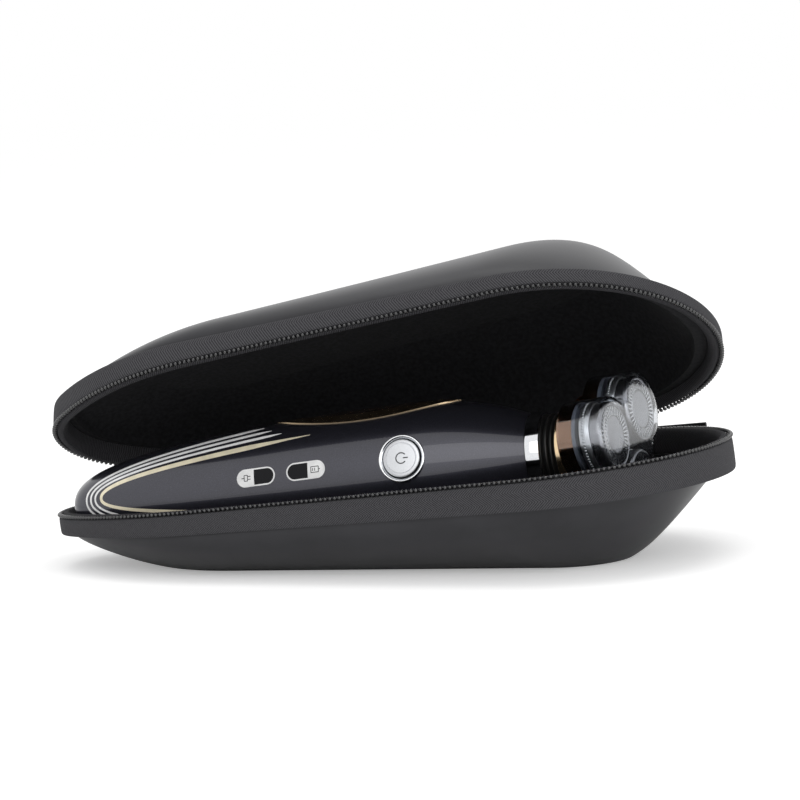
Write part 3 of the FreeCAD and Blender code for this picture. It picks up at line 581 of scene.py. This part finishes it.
def repeat_tree(shape):
    """Node tree that sets one bead, or one bar, at even steps along a drawn line."""
    tree = bpy.data.node_groups.new("spaced_" + shape, "GeometryNodeTree")
    make = tree.interface.new_socket
    make("Line", in_out="INPUT", socket_type="NodeSocketGeometry")
    sockets = {
        "Spacing": make("Spacing", in_out="INPUT", socket_type="NodeSocketFloat").identifier,
        "Size": make("Size", in_out="INPUT", socket_type="NodeSocketVector").identifier,
        "Finish": make("Finish", in_out="INPUT", socket_type="NodeSocketMaterial").identifier,
    }
    make("Geometry", in_out="OUTPUT", socket_type="NodeSocketGeometry")
    add = tree.nodes.new
    link = tree.links.new
    start = add("NodeGroupInput")
    curve = add("GeometryNodeMeshToCurve")
    level = add("GeometryNodeSetCurveNormal")
    level.mode = "Z_UP"
    steps = add("GeometryNodeCurveToPoints")
    steps.mode = "LENGTH"
    if shape == "bead":
        unit = add("GeometryNodeMeshUVSphere")
        unit.inputs["Segments"].default_value = 8
        unit.inputs["Rings"].default_value = 6
        unit.inputs["Radius"].default_value = 0.5
    else:
        unit = add("GeometryNodeMeshCube")
    spread = add("GeometryNodeInstanceOnPoints")
    real = add("GeometryNodeRealizeInstances")
    paint = add("GeometryNodeSetMaterial")
    stop = add("NodeGroupOutput")
    link(start.outputs["Line"], curve.inputs["Mesh"])
    link(curve.outputs["Curve"], level.inputs["Curve"])
    link(level.outputs["Curve"], steps.inputs["Curve"])
    link(start.outputs["Spacing"], steps.inputs["Length"])
    link(steps.outputs["Points"], spread.inputs["Points"])
    link(steps.outputs["Rotation"], spread.inputs["Rotation"])
    link(unit.outputs["Mesh"], spread.inputs["Instance"])
    link(start.outputs["Size"], spread.inputs["Scale"])
    link(spread.outputs["Instances"], real.inputs["Geometry"])
    link(real.outputs["Geometry"], paint.inputs["Geometry"])
    link(start.outputs["Finish"], paint.inputs["Material"])
    link(paint.outputs["Geometry"], stop.inputs["Geometry"])
    return tree, sockets


TREES = {}


def repeat_along(name, line, closed, spacing, size, place, shape="bead"):
    """Beads or bars of a size (across the line, up, along it) every so many millimetres
    along a line in the local XY plane, as one plain mesh put in its place."""
    if shape not in TREES:
        TREES[shape] = repeat_tree(shape)
    tree, sockets = TREES[shape]
    n = len(line)
    edges = [(i, (i + 1) % n) for i in range(n if closed else n - 1)]
    mesh = bpy.data.meshes.new(name + "_line")
    mesh.from_pydata([MM * Vector(p) for p in line], edges, [])
    holder = bpy.data.objects.new(name + "_line", mesh)
    bpy.context.collection.objects.link(holder)
    modifier = holder.modifiers.new("repeat", "NODES")
    modifier.node_group = tree
    modifier[sockets["Spacing"]] = spacing * MM
    modifier[sockets["Size"]] = [s * MM for s in size]
    modifier[sockets["Finish"]] = TEETH
    bpy.context.view_layer.update()
    shown = holder.evaluated_get(bpy.context.evaluated_depsgraph_get())
    result = bpy.data.meshes.new_from_object(shown)
    bpy.data.objects.remove(holder)
    result.name = name
    local = Matrix.Diagonal((MM, MM, MM, 1)) @ place @ Matrix.Diagonal((1 / MM,) * 3 + (1,))
    result.transform(local)
    if place.determinant() < 0:
        result.flip_normals()
    obj = bpy.data.objects.new(name, result)
    bpy.context.collection.objects.link(obj)
    return obj


def rim_line(half_zone, inset, w):
    """The rim's line without the stretch taken up by the fabric hinge."""
    loop = rim(inset, 3.0)
    at_hinge = [v > 0 and abs(u) < half_zone for u, v, nu, nv in loop]
    start = next(i for i in range(len(loop)) if at_hinge[i - 1] and not at_hinge[i])
    line = []
    for k in range(len(loop)):
        i = (start + k) % len(loop)
        if at_hinge[i]:
            break
        line.append((loop[i][0], loop[i][1], w))
    return line


def build_teeth(prefix, place):
    line = rim_line(HINGE_HALF + 1.5, 0.78, -0.75)
    obj = repeat_along(prefix + "_teeth", line, False, 1.38, (1.6, 1.05, 0.98), place)
    dress(obj, prefix, TEETH, prefix + "_zipper_chain", 60)


for prefix, half, place in (("base", BASE_HALF, CASE), ("lid", LID_HALF, LID)):
    build_shell(prefix, half, place)
    build_lining(prefix, half, place)
    build_band(prefix, half, place)
    build_tape(prefix, half, place)
    build_teeth(prefix, place)


# Shaver handle

def fullness(x):
    share = x / HANDLE_LENGTH
    rise = min((share + 0.004) / 0.75, 1.0)
    narrow = max(share - 0.76, 0.0) / 0.24
    return (1 - (1 - rise) ** 2) ** 0.36 * (1 - 0.37 * narrow ** 2)


def section(x):
    """Centre height and half sizes of the handle's cross-section."""
    full = fullness(x)
    middle = full * (HANDLE_FRONT - HANDLE_BACK) / 2 + 4.5 * max(1 - x / HANDLE_LENGTH / 0.45,
                                                                 0) ** 2
    return middle, full * HANDLE_SIDE, full * (HANDLE_FRONT + HANDLE_BACK) / 2


def handle_point(x, angle, lift=0.0):
    middle, side, front = section(x)
    return x, (side + lift) * math.cos(angle), middle + (front + lift) * math.sin(angle)


def on_front(x, y, lift=0.0):
    side = section(x)[1]
    return handle_point(x, math.acos(max(-0.999, min(0.999, y / side))), lift)


def split_angle(x, height):
    middle, side, front = section(x)
    return math.asin(max(-0.98, min(0.98, (height - middle) / front)))


def stations():
    near = [0.02 + 0.98 * (i / 10) ** 2 for i in range(11)]
    return ([x for x in near] + [1.6, 2.4, 3.4, 4.6, 6, 8, 10, 12.5, 15, 18]
            + [21 + i * 3.6 for i in range(31)] + [HANDLE_LENGTH])


def build_wall(name, upper, material, node):
    """Front or back half of the handle: a wall of even thickness with a fine gap between
    the two along the split."""
    loops = []
    for x in stations():
        gap = 0.16
        middle, side, front = section(x)
        wall = min(2.0, 0.55 * front)
        if upper:
            a = split_angle(x, SPLIT_HEIGHT + gap / 2)
            stop = math.pi - a
        else:
            a = math.pi - split_angle(x, SPLIT_HEIGHT - gap / 2)
            stop = 3 * math.pi - a
        count = 56
        angles = [a + (stop - a) * i / count for i in range(count + 1)]
        edge = 0.12
        outer = []
        for i, angle in enumerate(angles):
            soft = edge if i in (0, count) else (edge * 0.3 if i in (1, count - 1) else 0)
            outer.append(handle_point(x, angle, -soft))
        inner = [handle_point(x, angle, -wall) for angle in reversed(angles)]
        loops.append(outer + inner)
    points, faces = skin(loops)
    n = len(loops[0])
    h = n // 2
    for start, flip in ((0, True), ((len(loops) - 1) * n, False)):
        for i in range(h - 1):
            side = (start + i, start + i + 1, start + n - 2 - i, start + n - 1 - i)
            faces.append(tuple(reversed(side)) if flip else side)
    return piece(name, points, faces, SHAVER, "shaver", material, node, 35)


def bore_button_hole(panel):
    """Round hole through the front panel, just inside the bright ring's skirt."""
    points, faces = upright([(12.0, 0), (12.0, 6.2), (21.0, 6.2), (21.0, 0)], BUTTON_X, 96)
    mesh = bpy.data.meshes.new("button_bore")
    mesh.from_pydata([MM * (SHAVER @ Vector(p)) for p in points], [], faces)
    face_outward(mesh)
    bore = bpy.data.objects.new("button_bore", mesh)
    bpy.context.collection.objects.link(bore)
    cut = panel.modifiers.new("bore", "BOOLEAN")
    cut.operation = "DIFFERENCE"
    cut.solver = "EXACT"
    cut.object = bore
    bpy.context.view_layer.update()
    shown = panel.evaluated_get(bpy.context.evaluated_depsgraph_get())
    bored = bpy.data.meshes.new_from_object(shown)
    panel.modifiers.remove(cut)
    panel.data = bored
    bpy.data.objects.remove(bore)
    bored.polygons.foreach_set("use_smooth", [True] * len(bored.polygons))
    bored.set_sharp_from_angle(angle=math.radians(35))


def slab(top, bottom):
    """Closed sheet between two grids of points of the same size."""
    rows, cols = len(top), len(top[0])
    points = [p for row in top for p in row] + [p for row in bottom for p in row]
    size = rows * cols
    faces = []
    for r in range(rows - 1):
        for c in range(cols - 1):
            a = r * cols + c
            quad = (a, a + 1, a + cols + 1, a + cols)
            faces.append(quad)
            faces.append(tuple(size + i for i in reversed(quad)))
    edge = ([c for c in range(cols)] + [r * cols + cols - 1 for r in range(1, rows)]
            + [(rows - 1) * cols + c for c in range(cols - 2, -1, -1)]
            + [r * cols for r in range(rows - 2, 0, -1)])
    for a, b in zip(edge, edge[1:] + edge[:1]):
        faces.append((a, size + a, size + b, b))
    return points, faces


def patch(x0, x1, low, high, lift, depth, along=40, across=8):
    """Sheet on the handle's front between two curves y = low(x) and y = high(x)."""
    top, bottom = [], []
    for i in range(along + 1):
        x = x0 + (x1 - x0) * i / along
        row = [low(x) + (high(x) - low(x)) * j / across for j in range(across + 1)]
        top.append([on_front(x, y, lift) for y in row])
        bottom.append([on_front(x, y, -depth) for y in row])
    return slab(top, bottom)


def ribbon(path, width, lift=0.05, depth=0.1, surface=on_front):
    """Narrow printed line along a path in the plan of the handle's front. width is a
    number, or a function of the share of the way along."""
    top, bottom = [], []
    last = len(path) - 1
    for i, p in enumerate(path):
        a = Vector(path[max(i - 1, 0)])
        b = Vector(path[min(i + 1, last)])
        way = (b - a).normalized()
        across = Vector((-way.y, way.x))
        wide = width(i / last) if callable(width) else width
        row = [Vector(p) + across * wide * s for s in (-0.5, 0.0, 0.5)]
        top.append([surface(q.x, q.y, lift) for q in row])
        bottom.append([surface(q.x, q.y, -depth) for q in row])
    return slab(top, bottom)


TRIM_START = (50.0, 20.3)
TRIM_LOW = (84.0, 13.9)
TRIM_END = (125.8, 20.3)
TRIM_WIDTH = 1.7


def circle_through(a, b, c):
    (ax, ay), (bx, by), (cx, cy) = a, b, c
    d = 2 * (ax * (by - cy) + bx * (cy - ay) + cx * (ay - by))
    a2, b2, c2 = ax * ax + ay * ay, bx * bx + by * by, cx * cx + cy * cy
    x = (a2 * (by - cy) + b2 * (cy - ay) + c2 * (ay - by)) / d
    y = (a2 * (cx - bx) + b2 * (ax - cx) + c2 * (bx - ax)) / d
    return x, y, math.hypot(ax - x, ay - y)


TRIM_CIRCLE = circle_through(TRIM_START, TRIM_LOW, TRIM_END)


def trim_curve(x, offset=0.0):
    cx, cy, r = TRIM_CIRCLE
    return cy - math.sqrt(max(r * r - (x - cx) ** 2, 0)) + offset


def side_limit(x):
    return section(x)[1] * math.cos(split_angle(x, SPLIT_HEIGHT + 0.3))


def crescent_span(offset):
    inside = [x for x in [40 + i * 0.25 for i in range(380)]
              if trim_curve(x, offset) < side_limit(x) - 0.05]
    return inside[0], inside[-1]


def build_sides():
    trims, grips = [], []
    outer = crescent_span(0.0)
    inner = crescent_span(TRIM_WIDTH)
    for sign in (1, -1):
        span = outer[1] - outer[0]
        trims.append(patch(
            outer[0], outer[1],
            lambda x: sign * (trim_curve(x) - 0.9 * math.sin(math.pi * (x - outer[0]) / span)),
            lambda x: sign * min(trim_curve(x, TRIM_WIDTH), side_limit(x)), 0.25, 0.6, 90, 6))
        grips.append(patch(
            inner[0], inner[1], lambda x: sign * trim_curve(x, TRIM_WIDTH),
            lambda x: sign * side_limit(x), 0.06, 0.6, 80, 8))
    points, faces = several(trims)
    piece("gold_trims", points, faces, SHAVER, "shaver", GOLD, "gold_trim", 40)
    points, faces = several(grips)
    piece("brown_side_panels", points, faces, SHAVER, "shaver", BROWN_GLOSS, "side_grips", 40)


def build_stripes():
    """Nested stripes that follow the tail's outline on the front."""
    whites = []
    for first, reach, wide, low_reach in ((5.6, 58.5, 15.2, 57.0), (7.1, 61.5, 13.7, 60.0),
                                          (8.6, 65.0, 12.2, 64.0)):
        path = stripe_path(first, reach, wide, low_reach)
        whites.append(ribbon(path, stripe_width(0.55, 0.8, 60)))
    points, faces = several(whites)
    piece("white_stripes", points, faces, SHAVER, "shaver", PRINT_WHITE, (), 40)
    points, faces = ribbon(stripe_path(10.6, 74.0, 10.4, 92.0), stripe_width(0.85, 1.6, 14))
    piece("cream_stripe", points, faces, SHAVER, "shaver", PRINT_CREAM, (), 40)


def stripe_width(thin, wide, sharp):
    """Thin round the tail, wider up the long arm, and drawn to a point at its end. A
    larger sharp makes a shorter point."""
    def width(share):
        arm = max(share * 2 - 1, 0.0)
        point = min(1.0, (1 - share) * sharp + 0.08)
        return (thin + (wide - thin) * arm) * point
    return width


def stripe_path(first, reach, wide, low_reach):
    path = []
    steps = 44
    for i in range(-steps, steps + 1):
        t = i / steps
        end = reach if t > 0 else low_reach
        x = first + (end - first) * abs(t) ** 2.3
        y = wide * math.copysign(abs(t), t) * (1.0 if t > 0 else 1.0 + 0.12 * abs(t))
        path.append((x, y))
    return path


WINDOW_HALF = 5.5
WINDOW_SIDE = 2.3


def pill_half_width(dx):
    flat = WINDOW_HALF - WINDOW_SIDE
    past = max(abs(dx) - flat, 0)
    return math.sqrt(max(WINDOW_SIDE ** 2 - past ** 2, 0.0001))


def pill_area(centre, x0, x1, lift, depth=0.4):
    return patch(centre + x0, centre + x1, lambda x: -pill_half_width(x - centre),
                 lambda x: pill_half_width(x - centre), lift, depth, 24, 8)


def pill_line(centre):
    path = []
    flat = WINDOW_HALF - WINDOW_SIDE
    for i in range(49):
        a = 2 * math.pi * i / 48
        path.append((centre + math.copysign(flat, math.cos(a)) + WINDOW_SIDE * math.cos(a),
                     WINDOW_SIDE * math.sin(a)))
    return path


def icon_lines(centre, shape):
    """Plug or battery drawn with short strokes."""
    if shape == "plug":
        strokes = [[(-1.5, 0), (-0.7, 0)], [(-0.7, -0.8), (-0.7, 0.8)], [(-0.7, 0.8), (0.3, 0.8)],
                   [(0.3, 0.8), (0.3, -0.8)], [(0.3, -0.8), (-0.7, -0.8)],
                   [(0.3, 0.4), (1.2, 0.4)], [(0.3, -0.4), (1.2, -0.4)]]
    else:
        strokes = [[(-1.2, -0.8), (-1.2, 0.8)], [(-1.2, 0.8), (1.0, 0.8)],
                   [(1.0, 0.8), (1.0, -0.8)], [(1.0, -0.8), (-1.2, -0.8)],
                   [(1.0, 0.0), (1.5, 0.0)], [(-0.7, -0.4), (-0.7, 0.4)],
                   [(-0.1, -0.4), (-0.1, 0.4)]]
    lines = []
    for (xa, ya), (xb, yb) in strokes:
        steps = [(centre + xa + (xb - xa) * t / 4, ya + (yb - ya) * t / 4) for t in range(5)]
        lines.append(ribbon(steps, 0.2, 0.13, 0.0))
    return lines


def build_windows():
    glass, light, icons = [], [], []
    for centre, side, shape in ((WINDOW_X[0], -1, "plug"), (WINDOW_X[1], 1, "battery")):
        edge = WINDOW_HALF - 0.05
        if side < 0:
            light.append(pill_area(centre, -edge, -0.6, 0.09))
            glass.append(pill_area(centre, -0.6, edge, 0.05))
        else:
            light.append(pill_area(centre, 0.6, edge, 0.09))
            glass.append(pill_area(centre, -edge, 0.6, 0.05))
        light.append(ribbon(pill_line(centre), 0.4, 0.11, 0.1))
        icons += icon_lines(centre + side * 2.8, shape)
    points, faces = several(glass)
    piece("smoked_windows", points, faces, SHAVER, "shaver", WINDOW, "indicator_windows", 40)
    points, faces = several(light)
    piece("white_window_outlines", points, faces, SHAVER, "shaver", PRINT_WHITE, (), 40)
    points, faces = several(icons)
    piece("window_symbols", points, faces, SHAVER, "shaver", DARK_PRINT_AND_SLOT_SHADE, (), 40)


def upright(profile, centre_x, count=96):
    """A profile of (height, radius) turned about an axis along the handle's z."""
    points, faces = turned(profile, count)
    return [(centre_x + y, z, x) for x, y, z in points], faces


def build_button():
    points, faces = upright(rounded([(16.4, 6.5), (18.76, 6.5), (18.9, 6.1), (18.3, 5.45),
                                     (16.4, 5.45)], 0.25, 3), BUTTON_X)
    piece("bright_button_ring", points, faces, SHAVER, "shaver", CHROME, "button_bezel", 40)
    face = [(16.6, 0), (16.6, 5.15), (18.72, 5.15), (18.88, 5.02), (18.95, 4.8), (18.96, 4.35),
            (18.84, 4.28), (18.84, 4.12), (18.97, 4.05), (19.02, 2.5), (19.04, 0)]
    points, faces = upright(face, BUTTON_X)
    piece("silver_button", points, faces, SHAVER, "button", SILVER, "power_button", 32)

    def level(x, y, lift):
        return x, y, 19.03 + lift
    ring = [(BUTTON_X + 1.45 * math.cos(math.radians(a)), 1.45 * math.sin(math.radians(a)))
            for a in range(38, 323, 6)]
    bar = [(BUTTON_X + 0.55 + i * 0.35, 0.0) for i in range(5)]
    points, faces = several([ribbon(ring, 0.32, 0.03, 0.08, level),
                             ribbon(bar, 0.32, 0.03, 0.08, level)])
    piece("power_symbol", points, faces, SHAVER, "button", DARK_PRINT_AND_SLOT_SHADE, (), 40)


bore_button_hole(build_wall("gloss_front_panel", True, GLOSS, "front_panel"))
build_wall("gloss_back_shell", False, GLOSS, "handle_back_shell")
build_sides()
build_stripes()
build_windows()
build_button()


# Neck and head

def build_neck():
    ring = rounded([(133.7, 12.0), (137.8, 12.0), (137.8, 9.2), (133.7, 9.2)], 0.45)
    points, faces = turned(ring)
    piece("bright_neck_ring", points, faces, SHAVER, "shaver", CHROME, "neck_ring", 40)
    loops = []
    pivot = Vector((PIVOT_X, 0, 0))
    start = Vector((137.9, 0, 0))
    stop = pivot + 3.0 * Vector((math.cos(HEAD_LEAN), 0, math.sin(HEAD_LEAN)))
    steps = 48

    def ring_at(share, radius):
        centre = (start.lerp(pivot, share * 2) if share < 0.5
                  else pivot.lerp(stop, share * 2 - 1))
        turn = HEAD_LEAN * share
        loop = []
        for i in range(72):
            a = 2 * math.pi * i / 72
            up = radius * math.sin(a)
            loop.append((centre.x - up * math.sin(turn), radius * math.cos(a),
                         centre.z + up * math.cos(turn)))
        return loop
    for i in range(steps + 1):
        share = i / steps
        loops.append(ring_at(share, 11.2 - 1.0 * (0.5 - 0.5 * math.cos(
            6 * math.pi * share)) ** 1.6))
    for i in range(steps, -1, -8):
        loops.append(ring_at(i / steps, 9.75))
    points, faces = skin(loops, ring=True)
    sleeve = piece("ribbed_neck_bellows", points, faces, SHAVER, "", RUBBER,
                   "neck_bellows", 50)
    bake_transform(sleeve)
    collar = rounded([(3.45, 12.7), (6.35, 12.7), (6.35, 11.9), (4.4, 11.9), (4.4, 9.3),
                      (3.45, 9.3)], 0.3)
    points, faces = turned(collar)
    piece("gold_neck_collar", points, faces, HEAD, "head", GOLD, "gold_collar", 40)


def build_unit(index, letter):
    turn = 2 * math.pi * index / 3
    place = HEAD @ Matrix.Translation((0, UNIT_PITCH * math.sin(turn),
                                       UNIT_PITCH * math.cos(turn)))
    body = "unit_" + letter
    ring = rounded([(HOLDER_LOW, 9.7), (16.9, 9.7), (HOLDER_HIGH, 9.35), (HOLDER_HIGH, 8.3),
                    (HOLDER_LOW + 0.8, 8.3), (HOLDER_LOW + 0.8, 3.2), (HOLDER_LOW, 3.2)], 0.2, 3)
    points, faces = turned(ring, 72)
    holder = piece("silver_unit_ring_" + letter, points, faces, place, body, SILVER,
                   "holder_" + letter, 32)
    wall = rounded([(17.95, 9.1), (20.3, 9.1), (20.75, 8.75), (21.05, 8.3), (20.92, 7.95),
                    (20.6, 7.9), (20.6, 5.3), (20.9, 5.2), (20.95, 4.6)], 0.05, 2)
    cup = wall + [(20.75, 2.2), (20.6, 0), (20.2, 0), (20.25, 4.4), (20.15, 8.3), (17.95, 8.5)]
    points, faces = turned(cup, 72)
    piece("steel_foil_" + letter, points, faces, place, body, FOIL, "foil_" + letter, 25)
    knurl = [(9.62 * math.cos(2 * math.pi * i / 96), 9.62 * math.sin(2 * math.pi * i / 96), 0)
             for i in range(96)]
    upright_turn = Matrix.Rotation(math.radians(90), 4, "Y")
    beads = repeat_along("knurl_" + letter, knurl, True, 0.84, (0.5, 0.9, 0.62),
                         place @ Matrix.Translation((16.2, 0, 0)) @ upright_turn)
    dress(beads, body, SILVER, (), 60)
    # Dark ring under the bright bars: painted shade standing for the shade seen through the foil's
    # slots
    slot_shade_ring = rounded([(20.55, 5.35), (20.66, 5.35), (20.66, 7.85), (20.55, 7.85)], 0.03, 2)
    points, faces = turned(slot_shade_ring, 72)
    piece("foil_slot_shade_" + letter, points, faces, place, body, DARK_PRINT_AND_SLOT_SHADE, (), 30)
    track = [(6.6 * math.cos(2 * math.pi * i / 96), 6.6 * math.sin(2 * math.pi * i / 96), 0)
             for i in range(96)]
    bars = repeat_along("foil_bars_" + letter, track, True, 1.04, (2.4, 0.34, 0.44),
                        place @ Matrix.Translation((20.8, 0, 0)) @ upright_turn, "bar")
    dress(bars, body, BAR, (), 30)


def cap_radius(angle, shrink_by):
    """Outline of three joined lobes, with the hollows between them softened."""
    total = 0.0
    for k in range(3):
        away = (angle - 2 * math.pi * k / 3 + math.pi) % (2 * math.pi) - math.pi
        lobe = 10.7 - shrink_by
        inside = lobe ** 2 - (UNIT_PITCH * math.sin(away)) ** 2
        if inside > 0 and abs(away) < math.pi / 2:
            total += (UNIT_PITCH * math.cos(away) + math.sqrt(inside)) ** 16
    total += (12.6 - shrink_by) ** 16
    return total ** (1 / 16)


def cap_loop(x, shrink_by, scale=1.0):
    loop = []
    for i in range(144):
        a = 2 * math.pi * i / 144
        r = cap_radius(a, shrink_by) * scale
        loop.append((x, r * math.sin(a), r * math.cos(a)))
    return loop


def cap_side(wall):
    """Loops of one face of the cap, from its centre to its open edge."""
    top = 22.35 - wall
    fillet = 2.2 - wall
    loops = [cap_loop(top, wall + 2.2, s) for s in (0.02, 0.35, 0.7, 0.92)]
    for i in range(9):
        t = math.radians(90 - i * 11.25)
        loops.append(cap_loop(top - fillet + fillet * math.sin(t),
                              wall + fillet * (1 - math.cos(t))))
    loops += [cap_loop(x, wall) for x in (18.0, 15.0, 12.0, 9.6)]
    return loops


def build_cap():
    outer = cap_side(0.0)
    outer.append(cap_loop(9.0, 0.0))
    inner = list(reversed(cap_side(CAP_WALL)))
    inner.insert(0, cap_loop(9.0, CAP_WALL))
    points, faces = skin(outer + inner, first=True, last=True)
    piece("clear_head_cap", points, faces, HEAD, "cap", CLEAR, "clear_cap", 50)


build_neck()
for index, letter in enumerate("abc"):
    build_unit(index, letter)
build_cap()


# Pieces kept as constructed

def finish_nodes(finishes):
    for name, material in finishes.items():
        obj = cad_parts[name]
        for slot in obj.material_slots:
            slot.material = material


finish_nodes({
    "base_zipper_stops": BLACK_METAL, "lid_zipper_stops": BLACK_METAL,
    "base_hinge_strip": HINGE_CLOTH, "lid_hinge_strip": HINGE_CLOTH,
    "slider_head_end": BLACK_METAL, "slider_tail_end": BLACK_METAL,
    "pull_head_end": BLACK_METAL, "pull_tail_end": BLACK_METAL,
    "chassis": MOULDED, "battery": CELL, "circuit_board": BOARD,
    "motor": STEEL, "motor_spindle": STEEL, "charging_jack": STEEL,
    "head_base": BRONZE, "head_frame": SLATE, "drive_pinion": WHITE_GEAR,
})
for letter in "abc":
    finish_nodes({"gear_" + letter: WHITE_GEAR, "cutter_" + letter: STEEL})


# Stage, light and camera

def build_stage():
    mesh = bpy.data.meshes.new("pale_floor")
    size = 6.0
    mesh.from_pydata([(-size, -size, 0), (size, -size, 0), (size, size, 0), (-size, size, 0)],
                     [], [(0, 1, 2, 3)])
    floor = bpy.data.objects.new("pale_floor", mesh)
    bpy.context.collection.objects.link(floor)
    f = Finish("white_floor", (0.97, 0.97, 0.97), 0.9, 0.0, Emission_Color=(1, 1, 1, 1))
    f.shader.inputs["Specular IOR Level"].default_value = 0.0
    grain = f.noise(40.0, 2.0)
    f.colour_from(grain, "Fac", (0.965, 0.965, 0.965), (0.975, 0.975, 0.975))
    seen = f.add("ShaderNodeLightPath")
    glow = f.sum("MULTIPLY", (seen, "Is Camera Ray"), 0.3)
    f.link(glow[0], 0, f.shader, "Emission Strength")
    floor.data.materials.append(f.material)


def area_light(name, place, target, size_x, size_y, power, colour=(1, 1, 1)):
    lamp = bpy.data.lights.new(name, "AREA")
    lamp.shape = "RECTANGLE"
    lamp.size = size_x
    lamp.size_y = size_y
    lamp.energy = power
    lamp.color = colour
    obj = bpy.data.objects.new(name, lamp)
    bpy.context.collection.objects.link(obj)
    obj.location = place
    obj.rotation_euler = (Vector(target) - Vector(place)).to_track_quat("-Z", "Y").to_euler()
    return obj


def build_light():
    world = bpy.data.worlds.new("white_studio")
    bpy.context.scene.world = world
    world.use_nodes = True
    nodes = world.node_tree.nodes
    links = world.node_tree.links
    soft = nodes["Background"]
    soft.inputs["Color"].default_value = (1, 1, 1, 1)
    soft.inputs["Strength"].default_value = 0.72
    white = nodes.new("ShaderNodeBackground")
    white.inputs["Color"].default_value = (1, 1, 1, 1)
    white.inputs["Strength"].default_value = 1.0
    path = nodes.new("ShaderNodeLightPath")
    either = nodes.new("ShaderNodeMath")
    either.operation = "ADD"
    any_of = nodes.new("ShaderNodeMath")
    any_of.operation = "ADD"
    any_of.use_clamp = True
    mix = nodes.new("ShaderNodeMixShader")
    links.new(path.outputs["Is Camera Ray"], either.inputs[0])
    links.new(path.outputs["Is Glossy Ray"], either.inputs[1])
    links.new(either.outputs[0], any_of.inputs[0])
    links.new(path.outputs["Is Transmission Ray"], any_of.inputs[1])
    links.new(any_of.outputs[0], mix.inputs["Fac"])
    links.new(soft.outputs["Background"], mix.inputs[1])
    links.new(white.outputs["Background"], mix.inputs[2])
    links.new(mix.outputs["Shader"], nodes["World Output"].inputs["Surface"])
    area_light("top_softbox", (0.0, 0.15, 0.9), (0, 0, 0.04), 0.9, 0.5, 2.0)
    area_light("front_softbox", (0.2, -1.4, 0.9), (0, 0, 0.04), 1.6, 0.9, 5.0)
    area_light("right_softbox", (0.9, -0.5, 0.25), (0, 0, 0.04), 0.5, 0.5, 1.5)


def build_camera():
    azimuth, elevation, roll = map(math.radians, (17.355, 6.26, -3.394))
    back = Vector((math.sin(azimuth) * math.cos(elevation),
                   -math.cos(azimuth) * math.cos(elevation), math.sin(elevation)))
    target = Vector((5.393, 0, 44.189)) * MM
    right = (-back).cross(Vector((0, 0, 1))).normalized()
    up = right.cross(-back)
    r = right * math.cos(roll) + up * math.sin(roll)
    u = up * math.cos(roll) - right * math.sin(roll)
    data = bpy.data.cameras.new("photo_view")
    data.sensor_width = 36
    data.lens = 36 * 3263.4 / 800
    camera = bpy.data.objects.new("photo_view", data)
    bpy.context.collection.objects.link(camera)
    camera.matrix_world = Matrix.Translation(target + back * 0.9) @ Matrix(
        ((r.x, u.x, back.x), (r.y, u.y, back.y), (r.z, u.z, back.z))).to_4x4()
    bpy.context.scene.camera = camera


build_stage()
build_light()
build_camera()
bpy.context.scene.view_settings.view_transform = "Standard"
